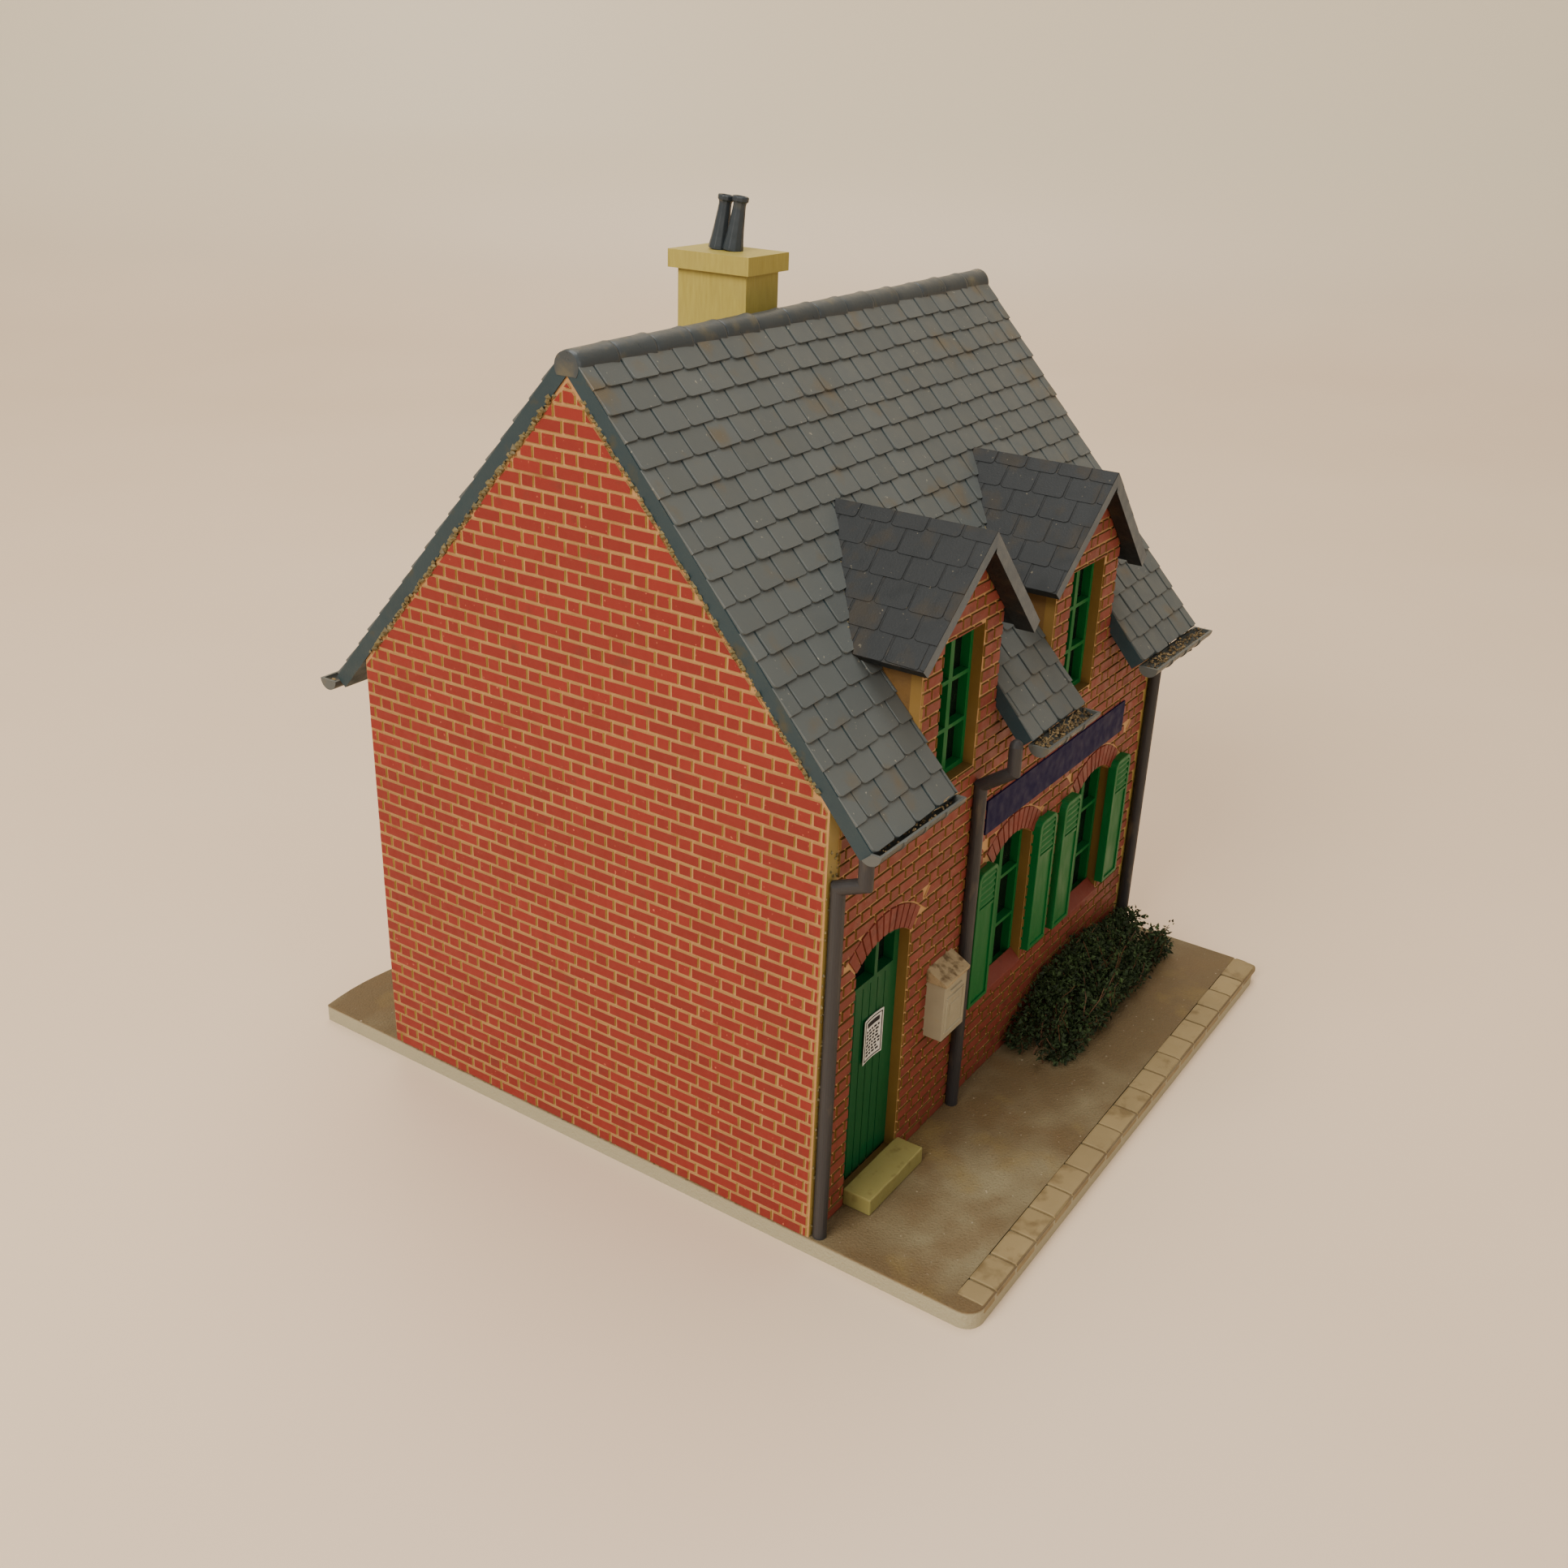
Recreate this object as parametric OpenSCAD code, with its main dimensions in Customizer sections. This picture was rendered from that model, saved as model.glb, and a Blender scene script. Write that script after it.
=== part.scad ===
// Model railway building kit: a small brick post office with slate roofs, on its ground plate.
// Origin: centre of the ground plate's underside. +X runs along the ridge, the street front faces -Y.
// Most modules draw in the house frame: x from the left gable's outer face, y from the ridge, z from the plate.

/* [Ground plate] */
// Length of the ground plate along the street
plate_l = 81.6; // [80:0.1:90]
// Depth of the ground plate from kerb to back edge
plate_d = 92.2; // [90:0.1:100]
// Thickness of the ground plate
plate_t = 2.2; // [1.5:0.1:3]
// Radius of the plate's front corners
plate_r = 2.0; // [1:0.1:4]
// Width of the row of kerb stones
kerb_w = 3.0; // [2:0.1:4]
// Length of one kerb stone
kerb_pitch = 4.48; // [3:0.01:6]

/* [House] */
// Outside length of the house along the ridge
house_l = 78.6; // [76:0.1:79]
// Outside depth of the house, front to back
house_d = 60.0; // [58:0.1:62]
// How far the ridge lies behind the middle of the plate
house_back = 3.3; // [2:0.1:5]
// Height of the walls at the eaves
eave_h = 49.2; // [48:0.1:50]
// Height of the gable walls at their tip
apex_h = 83.8; // [83:0.1:85]
// Thickness of the gable walls
gable_t = 1.8; // [1.4:0.1:2]
// Thickness of the front and back walls
facade_t = 1.2; // [1.1:0.1:1.6]

/* [Roof] */
// Thickness of the roof slopes
roof_t = 1.6; // [1.4:0.1:1.8]
// Length of a roof slope from the ridge line to the eave
slope_l = 53.0; // [52:0.1:54]
// How far the roof stands out past each gable
verge = 0.2; // [0.1:0.1:0.4]
// Number of ridge tiles
ridge_tiles_n = 14; // [10:1:16]
// Outside radius of the half-round gutters
gutter_r = 1.2; // [1:0.05:1.4]
// Diameter of the downpipes
pipe_d = 1.45; // [1.2:0.05:1.8]

/* [Dormers] */
// Centre of the first dormer from the left gable
dormer_x1 = 23.9; // [22:0.1:26]
// Distance between the two dormers
dormer_pitch = 29.6; // [29:0.1:31]
// Width of a dormer front
dormer_w = 16.4; // [15:0.1:17]
// Height of a dormer front at its tip
dormer_apex = 68.6; // [67:0.1:69]
// Pitch of the dormer roofs
dormer_pitch_deg = 45.5; // [44:0.5:47]
// Thickness of the dormer roof slopes
dormer_t = 1.1; // [0.9:0.1:1.3]

/* [Openings] */
// Width of the door opening
door_w = 10.8; // [10:0.1:11]
// Width of the ground floor window openings
window_w = 10.3; // [10:0.1:11]
// Height at which the arches spring
spring_h = 28.7; // [28:0.1:29]
// Rise of the arches
arch_rise = 1.9; // [1.7:0.1:2.2]
// Height of the door threshold
door_sill = 1.0; // [0.8:0.1:2]
// Height of the ground floor window sills
window_sill = 11.3; // [11:0.1:12]

/* [Hidden] */

$fn = 32;
eps = 0.01;
far = 200;

// Colours of the moulded plastics
stone_grey = [0.55, 0.50, 0.40];
brick_red = [0.62, 0.26, 0.19];
cream = [0.72, 0.66, 0.36];
slate = [0.36, 0.38, 0.38];
green = [0.08, 0.42, 0.18];
pipe_grey = [0.27, 0.26, 0.26];
gutter_grey = [0.45, 0.45, 0.42];
clear = [0.75, 0.82, 0.82];
navy = [0.20, 0.19, 0.32];
paper = [0.92, 0.90, 0.85];
ochre = [0.60, 0.45, 0.20];
foliage = [0.12, 0.20, 0.07];

// Main roof geometry, in the plane across the ridge
front_y = -house_d / 2;
pitch = atan2(apex_h - eave_h, house_d / 2);
top_apex = apex_h + roof_t / cos(pitch);
ridge_flat = apex_h + 1.2;
eave_y = slope_l * cos(pitch);
eave_z = top_apex - slope_l * sin(pitch);

// Ridge tiles: a roll with a collar at the end of each tile
roll_r = 1.5;
collar_r = 1.7;
roll_z = apex_h + 0.6;
collar_l = 0.8;

// Dormer geometry, across the dormer
dormer_eaves = [11.1, 12.0];
dormer_rakes = [[1.6, 2.6, 2.5], [1.2, 2.2, 2.1]];
barge_t = 0.4;
barge_gap = 0.3;
dormer_run = 20;
dormer_xs = [dormer_x1, dormer_x1 + dormer_pitch];
cheek_t = 1.0;
cheek_depth = 7.4;
dormer_side_h = dormer_apex - dormer_w / 2 * tan(dormer_pitch_deg);

// Places along the front
door_x = 11.7;
window_xs = [40.5, 63.0];
back_window_xs = [20.0, 58.6];
pipe_xs = [0.9, 29.2, 78.0];
shutter_edges = [30.6, 45.8, 52.7, 67.8];
shutter_feet = [12.2, 12.7, 12.5, 12.6];
shutter_w = 4.6;
dormer_win_w = 8.7;
dormer_win_z = [43.5, 59.3];

// Window and door mouldings
frame_lap = 0.7;
frame_t = 1.0;
jamb_w = 0.6;
mullion_w = 0.8;
transom_w = 0.45;
glass_t = 0.3;
door_t = 1.2;
door_jamb_w = 1.0;
door_leaf_top = 25.1;
fanlight_bar = [12.3, 0.6];
plank_n = 6;
groove = 0.15;

// Kerb and plate details
joint_w = 0.3;
joint_d = 0.3;
rib_t = 1.0;
rib_h = 1.2;
wave_h = 0.9;
wave_l = 21.5;

module in_house() {
    translate([-plate_l / 2, house_back, plate_t]) children();
}

// Extrudes a profile drawn across the ridge, as [y, z], from x0 over a length along the ridge
module along_ridge(x0, length) {
    translate([x0, 0, 0]) rotate([90, 0, 90]) linear_extrude(length) children();
}

// Extrudes a profile drawn on the front, as [x, z], from y0 backwards over a depth
module from_front(y0, depth) {
    translate([0, y0 + depth, 0]) rotate([90, 0, 0]) linear_extrude(depth) children();
}

// ---------- ground plate ----------

function arc(cx, cy, r, a0, a1, n) = [for (i = [0:n]) [cx + r * cos(a0 + (a1 - a0) * i / n),
                                                       cy + r * sin(a0 + (a1 - a0) * i / n)]];

function back_wave(n) = [for (i = [0:n]) let (x = plate_l * (1 - i / n))
    [x - plate_l / 2, plate_d / 2 - wave_h * (1 - sin(360 * x / wave_l)) / 2]];

module plate_outline() {
    polygon(concat(
        arc(-plate_l / 2 + plate_r, -plate_d / 2 + plate_r, plate_r, 180, 270, 6),
        arc(plate_l / 2 - plate_r, -plate_d / 2 + plate_r, plate_r, 270, 360, 6),
        back_wave(40)));
}

module kerb_joints() {
    kerb_line = -plate_d / 2 + kerb_w;
    joints = floor(plate_l / kerb_pitch);
    translate([-plate_l / 2 + kerb_w, kerb_line - joint_w / 2, plate_t - joint_d])
        cube([plate_l, joint_w, 1]);
    for (i = [1:joints - 1])
        translate([-plate_l / 2 + i * kerb_pitch, -plate_d / 2 - 1, plate_t - joint_d])
            cube([joint_w, kerb_w + 1, 1]);
}

// Low ribs on the plate that the walls are glued against from the outside
module wall_ribs() {
    inside_x = gable_t;
    inside_y = house_d / 2 - facade_t;
    rib_l = house_l - 2 * gable_t;
    for (side = [-1, 1])
        translate([inside_x, side * (inside_y - rib_t / 2) - rib_t / 2, -eps])
            cube([rib_l, rib_t, rib_h + eps]);
    for (x = [inside_x, house_l - gable_t - rib_t])
        translate([x, -inside_y + rib_t / 2, -eps]) cube([rib_t, 2 * inside_y - rib_t, rib_h + eps]);
}

module base_plate() {
    color(stone_grey) {
        difference() {
            linear_extrude(plate_t) plate_outline();
            kerb_joints();
        }
        in_house() wall_ribs();
    }
}

// ---------- walls ----------

module gable_wall(x0) {
    color(brick_red) in_house() along_ridge(x0, gable_t)
        polygon([[front_y, 0], [-front_y, 0], [-front_y, eave_h], [0, apex_h], [front_y, eave_h]]);
}

module gable_wall_left() { gable_wall(0); }
module gable_wall_right() { gable_wall(house_l - gable_t); }

// Opening with a segmental arch, drawn as [x, z]; grow makes it larger all round
module arched_opening(x, sill, width, grow = 0) {
    arch_r = (pow(width / 2, 2) + pow(arch_rise, 2)) / (2 * arch_rise);
    half = width / 2 + grow;
    intersection() {
        translate([x - half, sill - grow]) square([2 * half, far]);
        union() {
            translate([x, spring_h + arch_rise - arch_r]) circle(arch_r + grow, $fn = 96);
            translate([x - half, sill - grow]) square([2 * half, spring_h - sill + grow]);
        }
    }
}

module dormer_opening(x, grow = 0) {
    half = dormer_win_w / 2 + grow;
    translate([x - half, dormer_win_z[0] - grow])
        square([2 * half, dormer_win_z[1] - dormer_win_z[0] + 2 * grow]);
}

module dormer_front(x) {
    translate([x, 0]) polygon([
        [-dormer_w / 2, eave_h - 1], [dormer_w / 2, eave_h - 1],
        [dormer_w / 2, dormer_side_h], [0, dormer_apex], [-dormer_w / 2, dormer_side_h]]);
}

// Sill that slopes down to the outer face inside an opening; face is the wall's outer face
module sloped_sill(x, face, inward) {
    rise = 1.2;
    along_ridge(x - window_w / 2, window_w)
        polygon([[face, window_sill - eps], [face + inward * facade_t, window_sill - eps],
                 [face + inward * facade_t, window_sill + rise]]);
}

module front_wall() {
    color(brick_red) in_house() {
        from_front(front_y, facade_t) difference() {
            union() {
                translate([gable_t, 0]) square([house_l - 2 * gable_t, eave_h]);
                for (x = dormer_xs) dormer_front(x);
            }
            arched_opening(door_x, door_sill, door_w);
            for (x = window_xs) arched_opening(x, window_sill, window_w);
            for (x = dormer_xs) dormer_opening(x);
        }
        for (x = window_xs) sloped_sill(x, front_y, 1);
    }
}

module back_wall() {
    color(brick_red) in_house() {
        from_front(-front_y - facade_t, facade_t) difference() {
            translate([gable_t, 0]) square([house_l - 2 * gable_t, eave_h]);
            for (x = back_window_xs) arched_opening(x, window_sill, window_w);
        }
        for (x = back_window_xs) sloped_sill(x, -front_y, -1);
    }
}

// ---------- main roof ----------

// Section of the front slope as [y, z], cut flat under the ridge tiles
module slope_section() {
    intersection() {
        polygon([[0, apex_h], [0, top_apex], [-eave_y, eave_z],
                 [-eave_y + roof_t * sin(pitch), eave_z - roof_t * cos(pitch)]]);
        translate([-far, 0]) square([far, ridge_flat]);
    }
}

// Plan of the gap in the front slope that a dormer stands in, clear of the cheeks
module dormer_gap_plan(x) {
    half = dormer_w / 2;
    translate([x, 0]) polygon([[-half, -far], [half, -far], [half, front_y + cheek_depth],
                               [0, front_y + cheek_depth + 6.6], [-half, front_y + cheek_depth]]);
}

module front_roof() {
    color(slate) in_house() difference() {
        along_ridge(-verge, house_l + 2 * verge) slope_section();
        for (x = dormer_xs) linear_extrude(far) dormer_gap_plan(x);
    }
}

module back_roof() {
    color(slate) in_house() mirror([0, 1, 0])
        along_ridge(-verge, house_l + 2 * verge) slope_section();
}

// Everything below the top faces of both main slopes, used to cut what stands on them
module under_roof_section() {
    polygon([[-far, top_apex - far * tan(pitch)], [0, top_apex], [far, top_apex - far * tan(pitch)],
             [far, -far], [-far, -far]]);
}

module ridge_tiles() {
    tile_l = (house_l + 2 * verge) / ridge_tiles_n;
    color(slate) in_house() difference() {
        union() {
            along_ridge(-verge, house_l + 2 * verge) translate([0, roll_z]) circle(roll_r, $fn = 48);
            for (i = [0:ridge_tiles_n - 1])
                along_ridge(-verge + i * tile_l, collar_l)
                    translate([0, roll_z]) circle(collar_r, $fn = 48);
        }
        along_ridge(-far / 2, 2 * far) {
            intersection() {
                under_roof_section();
                translate([-far, -far]) square([2 * far, far + ridge_flat]);
            }
        }
    }
}

// ---------- dormers ----------

// One dormer roof slope with its front edge cut on the rake; side is -1 for the left slope, +1 for the
// right one, which also has a thicker front edge under its overhang
module dormer_slope(n, side) {
    a = dormer_pitch_deg;
    top = dormer_apex + dormer_t / cos(a);
    reach = side < 0 ? dormer_eaves[0] : dormer_eaves[1];
    inner = [reach - dormer_t * sin(a), top - reach * tan(a) - dormer_t * cos(a)];
    rake = dormer_rakes[n];
    tip_y = front_y - rake[1];
    low_y = front_y - (side < 0 ? rake[0] : rake[2]);
    color(slate) in_house() translate([dormer_xs[n], 0, 0]) difference() {
        union() {
            from_front(tip_y, dormer_run)
                polygon([[0, dormer_apex], [0, top], [side * reach, top - reach * tan(a)],
                         [side * inner[0], inner[1]]]);
            if (side > 0) from_front(tip_y, rake[1] - barge_gap)
                polygon([[0, dormer_apex], inner, inner - barge_t * [sin(a), cos(a)],
                         [0, dormer_apex - barge_t / cos(a)]]);
        }
        linear_extrude(far)
            polygon([[-side, tip_y], [0, tip_y], [side * reach, low_y], [side * (reach + 1), low_y],
                     [side * (reach + 1), tip_y - 1], [-side, tip_y - 1]]);
        along_ridge(-far, 2 * far) under_roof_section();
    }
}

// Triangular side wall of a dormer, between the front wall and the slates
module dormer_cheek(x, side) {
    x0 = side < 0 ? x - dormer_w / 2 : x + dormer_w / 2 - cheek_t;
    y0 = front_y + facade_t;
    y1 = front_y + cheek_depth;
    color(ochre) in_house() along_ridge(x0, cheek_t)
        polygon([[y0, apex_h + y0 * tan(pitch)], [y1, apex_h + y1 * tan(pitch)],
                 [y1, dormer_side_h], [y0, dormer_side_h]]);
}

module dormer_1_roof_left() { dormer_slope(0, -1); }
module dormer_1_roof_right() { dormer_slope(0, 1); }
module dormer_2_roof_left() { dormer_slope(1, -1); }
module dormer_2_roof_right() { dormer_slope(1, 1); }
module dormer_1_cheek_left() { dormer_cheek(dormer_xs[0], -1); }
module dormer_1_cheek_right() { dormer_cheek(dormer_xs[0], 1); }
module dormer_2_cheek_left() { dormer_cheek(dormer_xs[1], -1); }
module dormer_2_cheek_right() { dormer_cheek(dormer_xs[1], 1); }

// ---------- door and windows ----------

// Window moulding with a centre mullion and two transoms, drawn as [x, z]
module window_bars(x, z0, z1, width) {
    translate([x - mullion_w / 2, z0]) square([mullion_w, z1 - z0]);
    for (i = [1:2])
        translate([x - width / 2, z0 + (z1 - z0) * i / 3 - transom_w / 2]) square([width, transom_w]);
}

module arched_frame(x, y0) {
    color(green) in_house() from_front(y0, frame_t) union() {
        difference() {
            arched_opening(x, window_sill, window_w, frame_lap);
            arched_opening(x, window_sill, window_w, -jamb_w);
        }
        intersection() {
            arched_opening(x, window_sill, window_w);
            window_bars(x, window_sill, spring_h + arch_rise, window_w);
        }
    }
}

module dormer_frame(x) {
    color(green) in_house() from_front(front_y + facade_t, frame_t) union() {
        difference() {
            dormer_opening(x, frame_lap);
            dormer_opening(x, -jamb_w);
        }
        window_bars(x, dormer_win_z[0], dormer_win_z[1], dormer_win_w);
    }
}

module arched_glazing(x, y0) {
    color(clear) in_house() from_front(y0, glass_t)
        arched_opening(x, window_sill, window_w, frame_lap);
}

module dormer_glazing(x) {
    color(clear) in_house() from_front(front_y + facade_t + frame_t, glass_t)
        dormer_opening(x, frame_lap);
}

front_frame_y = front_y + facade_t;
back_frame_y = -front_y - facade_t - frame_t;

module window_frame_1() { arched_frame(window_xs[0], front_frame_y); }
module window_frame_2() { arched_frame(window_xs[1], front_frame_y); }
module window_glazing_1() { arched_glazing(window_xs[0], front_frame_y + frame_t); }
module window_glazing_2() { arched_glazing(window_xs[1], front_frame_y + frame_t); }
module back_window_frame_1() { arched_frame(back_window_xs[0], back_frame_y); }
module back_window_frame_2() { arched_frame(back_window_xs[1], back_frame_y); }
module back_glazing_1() { arched_glazing(back_window_xs[0], back_frame_y - glass_t); }
module back_glazing_2() { arched_glazing(back_window_xs[1], back_frame_y - glass_t); }
module dormer_frame_1() { dormer_frame(dormer_xs[0]); }
module dormer_frame_2() { dormer_frame(dormer_xs[1]); }
module dormer_glazing_1() { dormer_glazing(dormer_xs[0]); }
module dormer_glazing_2() { dormer_glazing(dormer_xs[1]); }

// Planked door with a two-light fanlight over it, in one moulding
module door() {
    plank_w = (door_w - 2 * door_jamb_w) / plank_n;
    color(green) in_house() difference() {
        from_front(front_frame_y, door_t) union() {
            difference() {
                arched_opening(door_x, door_sill, door_w, frame_lap);
                intersection() {
                    arched_opening(door_x, door_sill, door_w, -door_jamb_w);
                    translate([0, door_leaf_top]) square([far, far]);
                }
            }
            translate([fanlight_bar[0], door_leaf_top])
                square([fanlight_bar[1], spring_h + arch_rise - door_leaf_top]);
        }
        for (i = [1:plank_n - 1])
            translate([door_x - door_w / 2 + door_jamb_w + i * plank_w - groove / 2,
                       front_frame_y - groove, door_sill])
                cube([groove, 1.5 * groove, door_leaf_top - door_sill - 0.6]);
    }
}

module door_glazing() {
    color(clear) in_house() from_front(front_frame_y + door_t, glass_t) intersection() {
        arched_opening(door_x, door_sill, door_w, frame_lap);
        translate([0, door_leaf_top - 1]) square([far, far]);
    }
}

module door_notice() {
    notice = [3.75, 0.15, 5.4];
    color(paper) in_house() translate([door_x + 0.75 - notice[0] / 2, front_frame_y - notice[1], 14.95])
        cube(notice);
}

module doorstep() {
    step = [11.2, 3.4, 2.0];
    color(cream) in_house() translate([door_x - step[0] / 2 + 0.4, front_y - step[1], 0]) cube(step);
}

// Shutter: a panel with a raised border round a louvred field near its top
module shutter(n) {
    size = [shutter_w, 1.1, 17.3];
    border = 0.6;
    slats = 5;
    field_h = 4.1;
    field_z = size[2] - border - field_h;
    pitch_z = field_h / slats;
    color(green) in_house() translate([shutter_edges[n], front_y - size[1], shutter_feet[n]]) difference() {
        cube(size);
        for (i = [0:slats - 1])
            translate([border, -eps, field_z + i * pitch_z])
                rotate([90, 0, 90]) linear_extrude(shutter_w - 2 * border)
                    polygon([[0, 0], [0.4, 0.1], [0.1, pitch_z - 0.12], [0, pitch_z - 0.1]]);
    }
}

module shutter_1() { shutter(0); }
module shutter_2() { shutter(1); }
module shutter_3() { shutter(2); }
module shutter_4() { shutter(3); }

// ---------- fittings on the front ----------

module sign_plate() {
    plate = [37.3, 0.4, 4.1];
    color(navy) in_house() translate([32.2, front_y - plate[1], 33.7]) cube(plate);
}

module mailbox() {
    body = [5.0, 2.45, 7.0];
    lid_over = 0.25;
    body_z = 13.3;
    lid_t = 0.8;
    lid_rise = 0.9;
    color(cream) in_house() {
        translate([21.6, front_y - body[1], body_z]) cube(body);
        along_ridge(21.6 - lid_over, body[0] + 2 * lid_over) polygon([
            [front_y, body_z + body[2] - eps], [front_y, body_z + body[2] + lid_t + lid_rise],
            [front_y - body[1] - lid_over, body_z + body[2] + lid_t / 2],
            [front_y - body[1] - lid_over, body_z + body[2] - eps]]);
    }
}

// ---------- rainwater goods ----------

gutter_wall = 0.3;
gutter_y = -eave_y - 0.85;
gutter_z = eave_z - 0.45;
gutter_step = 4.6;
left_gutter_shift = [0.95, 0.5];
tab_h = 0.5;
tab_reach = 1.0;

module half_ring(outer, inner) {
    difference() {
        circle(outer, $fn = 48);
        circle(inner, $fn = 48);
        translate([-far / 2, 0]) square([far, far]);
    }
}

// Half-round gutter with collars and closed ends; shift moves it in under the eave, as [y, z], and
// a gutter that isn't shifted has glue tabs that reach back under the slates
module gutter(x0, x1, shift = [0, 0]) {
    inner = gutter_r - gutter_wall;
    bands = floor((x1 - x0) / gutter_step);
    band_pitch = (x1 - x0) / (bands + 1);
    color(gutter_grey) in_house() difference() {
        translate([0, gutter_y + shift[0], gutter_z + shift[1]]) {
            along_ridge(x0, x1 - x0) half_ring(gutter_r, inner);
            for (x = [x0, x1 - gutter_wall]) along_ridge(x, gutter_wall) half_ring(gutter_r, eps);
            for (i = [1:bands]) {
                along_ridge(x0 + i * band_pitch, 0.5) half_ring(gutter_r + 0.12, inner);
                if (norm(shift) == 0)
                    translate([x0 + i * band_pitch - 0.1, gutter_r - gutter_wall, -tab_h])
                        cube([0.7, tab_reach, tab_h]);
            }
        }
        along_ridge(-far / 2, 2 * far) slope_section();
    }
}

module gutter_left() { gutter(-0.4, dormer_xs[0] - dormer_w / 2 - 0.1, left_gutter_shift); }
module gutter_middle() { gutter(dormer_xs[0] + dormer_w / 2, dormer_xs[1] - dormer_w / 2); }
module gutter_right() { gutter(dormer_xs[1] + dormer_w / 2, house_l + 1.2); }
module gutter_back() { mirror([0, 1, 0]) translate([0, -2 * house_back, 0]) gutter(-0.8, house_l + 0.8); }

// Round rod between two points that lie in a plane across the ridge, given as [y, z]
module rod(from, to, d) {
    run = norm(to - from);
    lean = atan2(from[0] - to[0], to[1] - from[1]);
    translate([0, from[0], from[1]]) rotate([lean, 0, 0]) cylinder(h = run, d = d, $fn = 24);
}

// Downpipe on the wall with a swan neck forward to the gutter; top is the height of its rounded end,
// neck is how far the swan neck runs, as [forward, up]
module downpipe(x, top, neck = [3.6, 2.5], shift = [0, 0]) {
    pipe_y = front_y - pipe_d / 2;
    neck_low = [pipe_y, 41.0];
    neck_high = neck_low + [-neck[0], neck[1]];
    tongue_top = top - pipe_d / 2;
    color(pipe_grey) in_house() difference() {
        translate([x, 0, 0]) {
            rod([pipe_y, 0], neck_low, pipe_d);
            rod(neck_low, neck_high, pipe_d);
            rod(neck_high, [neck_high[0], tongue_top], pipe_d);
            for (p = [neck_low, neck_high, [neck_high[0], tongue_top]])
                translate([0, p[0], p[1]]) sphere(d = pipe_d, $fn = 24);
        }
        if (top < gutter_z)
            along_ridge(x - pipe_d, 2 * pipe_d) {
                translate([gutter_y + shift[0], gutter_z + shift[1]]) circle(gutter_r + 0.12, $fn = 48);
                slope_section();
            }
    }
}

module downpipe_left() { downpipe(pipe_xs[0], 45.5, [2.9, 1.2], left_gutter_shift); }
module downpipe_middle() { downpipe(pipe_xs[1], 47.3); }
module downpipe_right() { downpipe(pipe_xs[2], 45.5); }

// ---------- chimney ----------

stack = [6.0, 9.1];
stack_x = 33.0;
stack_y = 3.8;
stack_top = 89.1;
stack_wall = 1.0;
stack_joint = 2.75;
cap_over = 0.8;
cap_h = 1.9;
cap_band = 0.9;

// Solid outline of the chimney, hollow inside, standing on the back slope
module chimney_body() {
    difference() {
        union() {
            translate([stack_x, stack_y, 0]) cube([stack[0], stack[1], stack_top]);
            translate([stack_x - cap_over, stack_y - cap_over, stack_top])
                cube([stack[0] + 2 * cap_over, stack[1] + 2 * cap_over, cap_h]);
        }
        translate([stack_x + stack_wall, stack_y + stack_wall, 0])
            cube([stack[0] - 2 * stack_wall, stack[1] - 2 * stack_wall, stack_top]);
        along_ridge(-far / 2, 2 * far) under_roof_section();
    }
}

// The half that holds the front band of the cap takes it right to the left corner
module right_half_zone() {
    translate([stack_x + stack_joint, -far / 2, 0]) cube([far, far, far]);
    translate([stack_x - cap_over - 1, stack_y - cap_over - 1, stack_top])
        cube([far, 1 + cap_band, far]);
}

module chimney_half_left() {
    color(cream) in_house() difference() {
        chimney_body();
        right_half_zone();
    }
}

module chimney_half_right() {
    color(cream) in_house() intersection() {
        chimney_body();
        right_half_zone();
    }
}

// Pair of tapered pots side by side on one foot, leaning a little to the front
module chimney_pots() {
    pot_r = [1.15, 0.7];
    pot_h = 5.6;
    rim_h = 0.6;
    rim_over = 0.2;
    bore_r = 0.5;
    bore_h = 3;
    spacing = 1.9;
    foot = [2.4, 4.2, 0.4];
    lean = [7, 4, 0];
    color(slate) in_house()
        translate([stack_x + stack[0] / 2, stack_y + stack[1] / 2, stack_top + cap_h]) {
            translate([-foot[0] / 2, -foot[1] / 2, 0]) cube(foot);
            for (side = [-1, 1])
                translate([0, side * spacing / 2, foot[2] - 0.3]) rotate(lean) difference() {
                    union() {
                        cylinder(h = pot_h, r1 = pot_r[0], r2 = pot_r[1], $fn = 32);
                        translate([0, 0, pot_h - rim_h]) cylinder(h = rim_h, r = pot_r[1] + rim_over, $fn = 32);
                    }
                    translate([0, 0, pot_h - bore_h]) cylinder(h = bore_h + 1, r = bore_r, $fn = 32);
                }
        }
}

// ---------- planting ----------

// Low hedge along the wall: a row of overlapping rounded clumps that ends short of the last downpipe
module hedge() {
    clump_xs = [44.0, 50.4, 56.8, 63.2, 69.6, 74.0];
    clump_rs = [4.5, 4.9, 5.1, 4.9, 4.5, 3.3];
    sunk = 0.25;
    color(foliage) in_house() intersection() {
        translate([0, front_y - 13, 0]) cube([far, 12.7, far]);
        for (i = [0:len(clump_xs) - 1])
            translate([clump_xs[i], front_y - (1 - sunk) * clump_rs[i], (1 - sunk) * clump_rs[i]])
                sphere(r = clump_rs[i], $fn = 24);
    }
}

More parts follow.
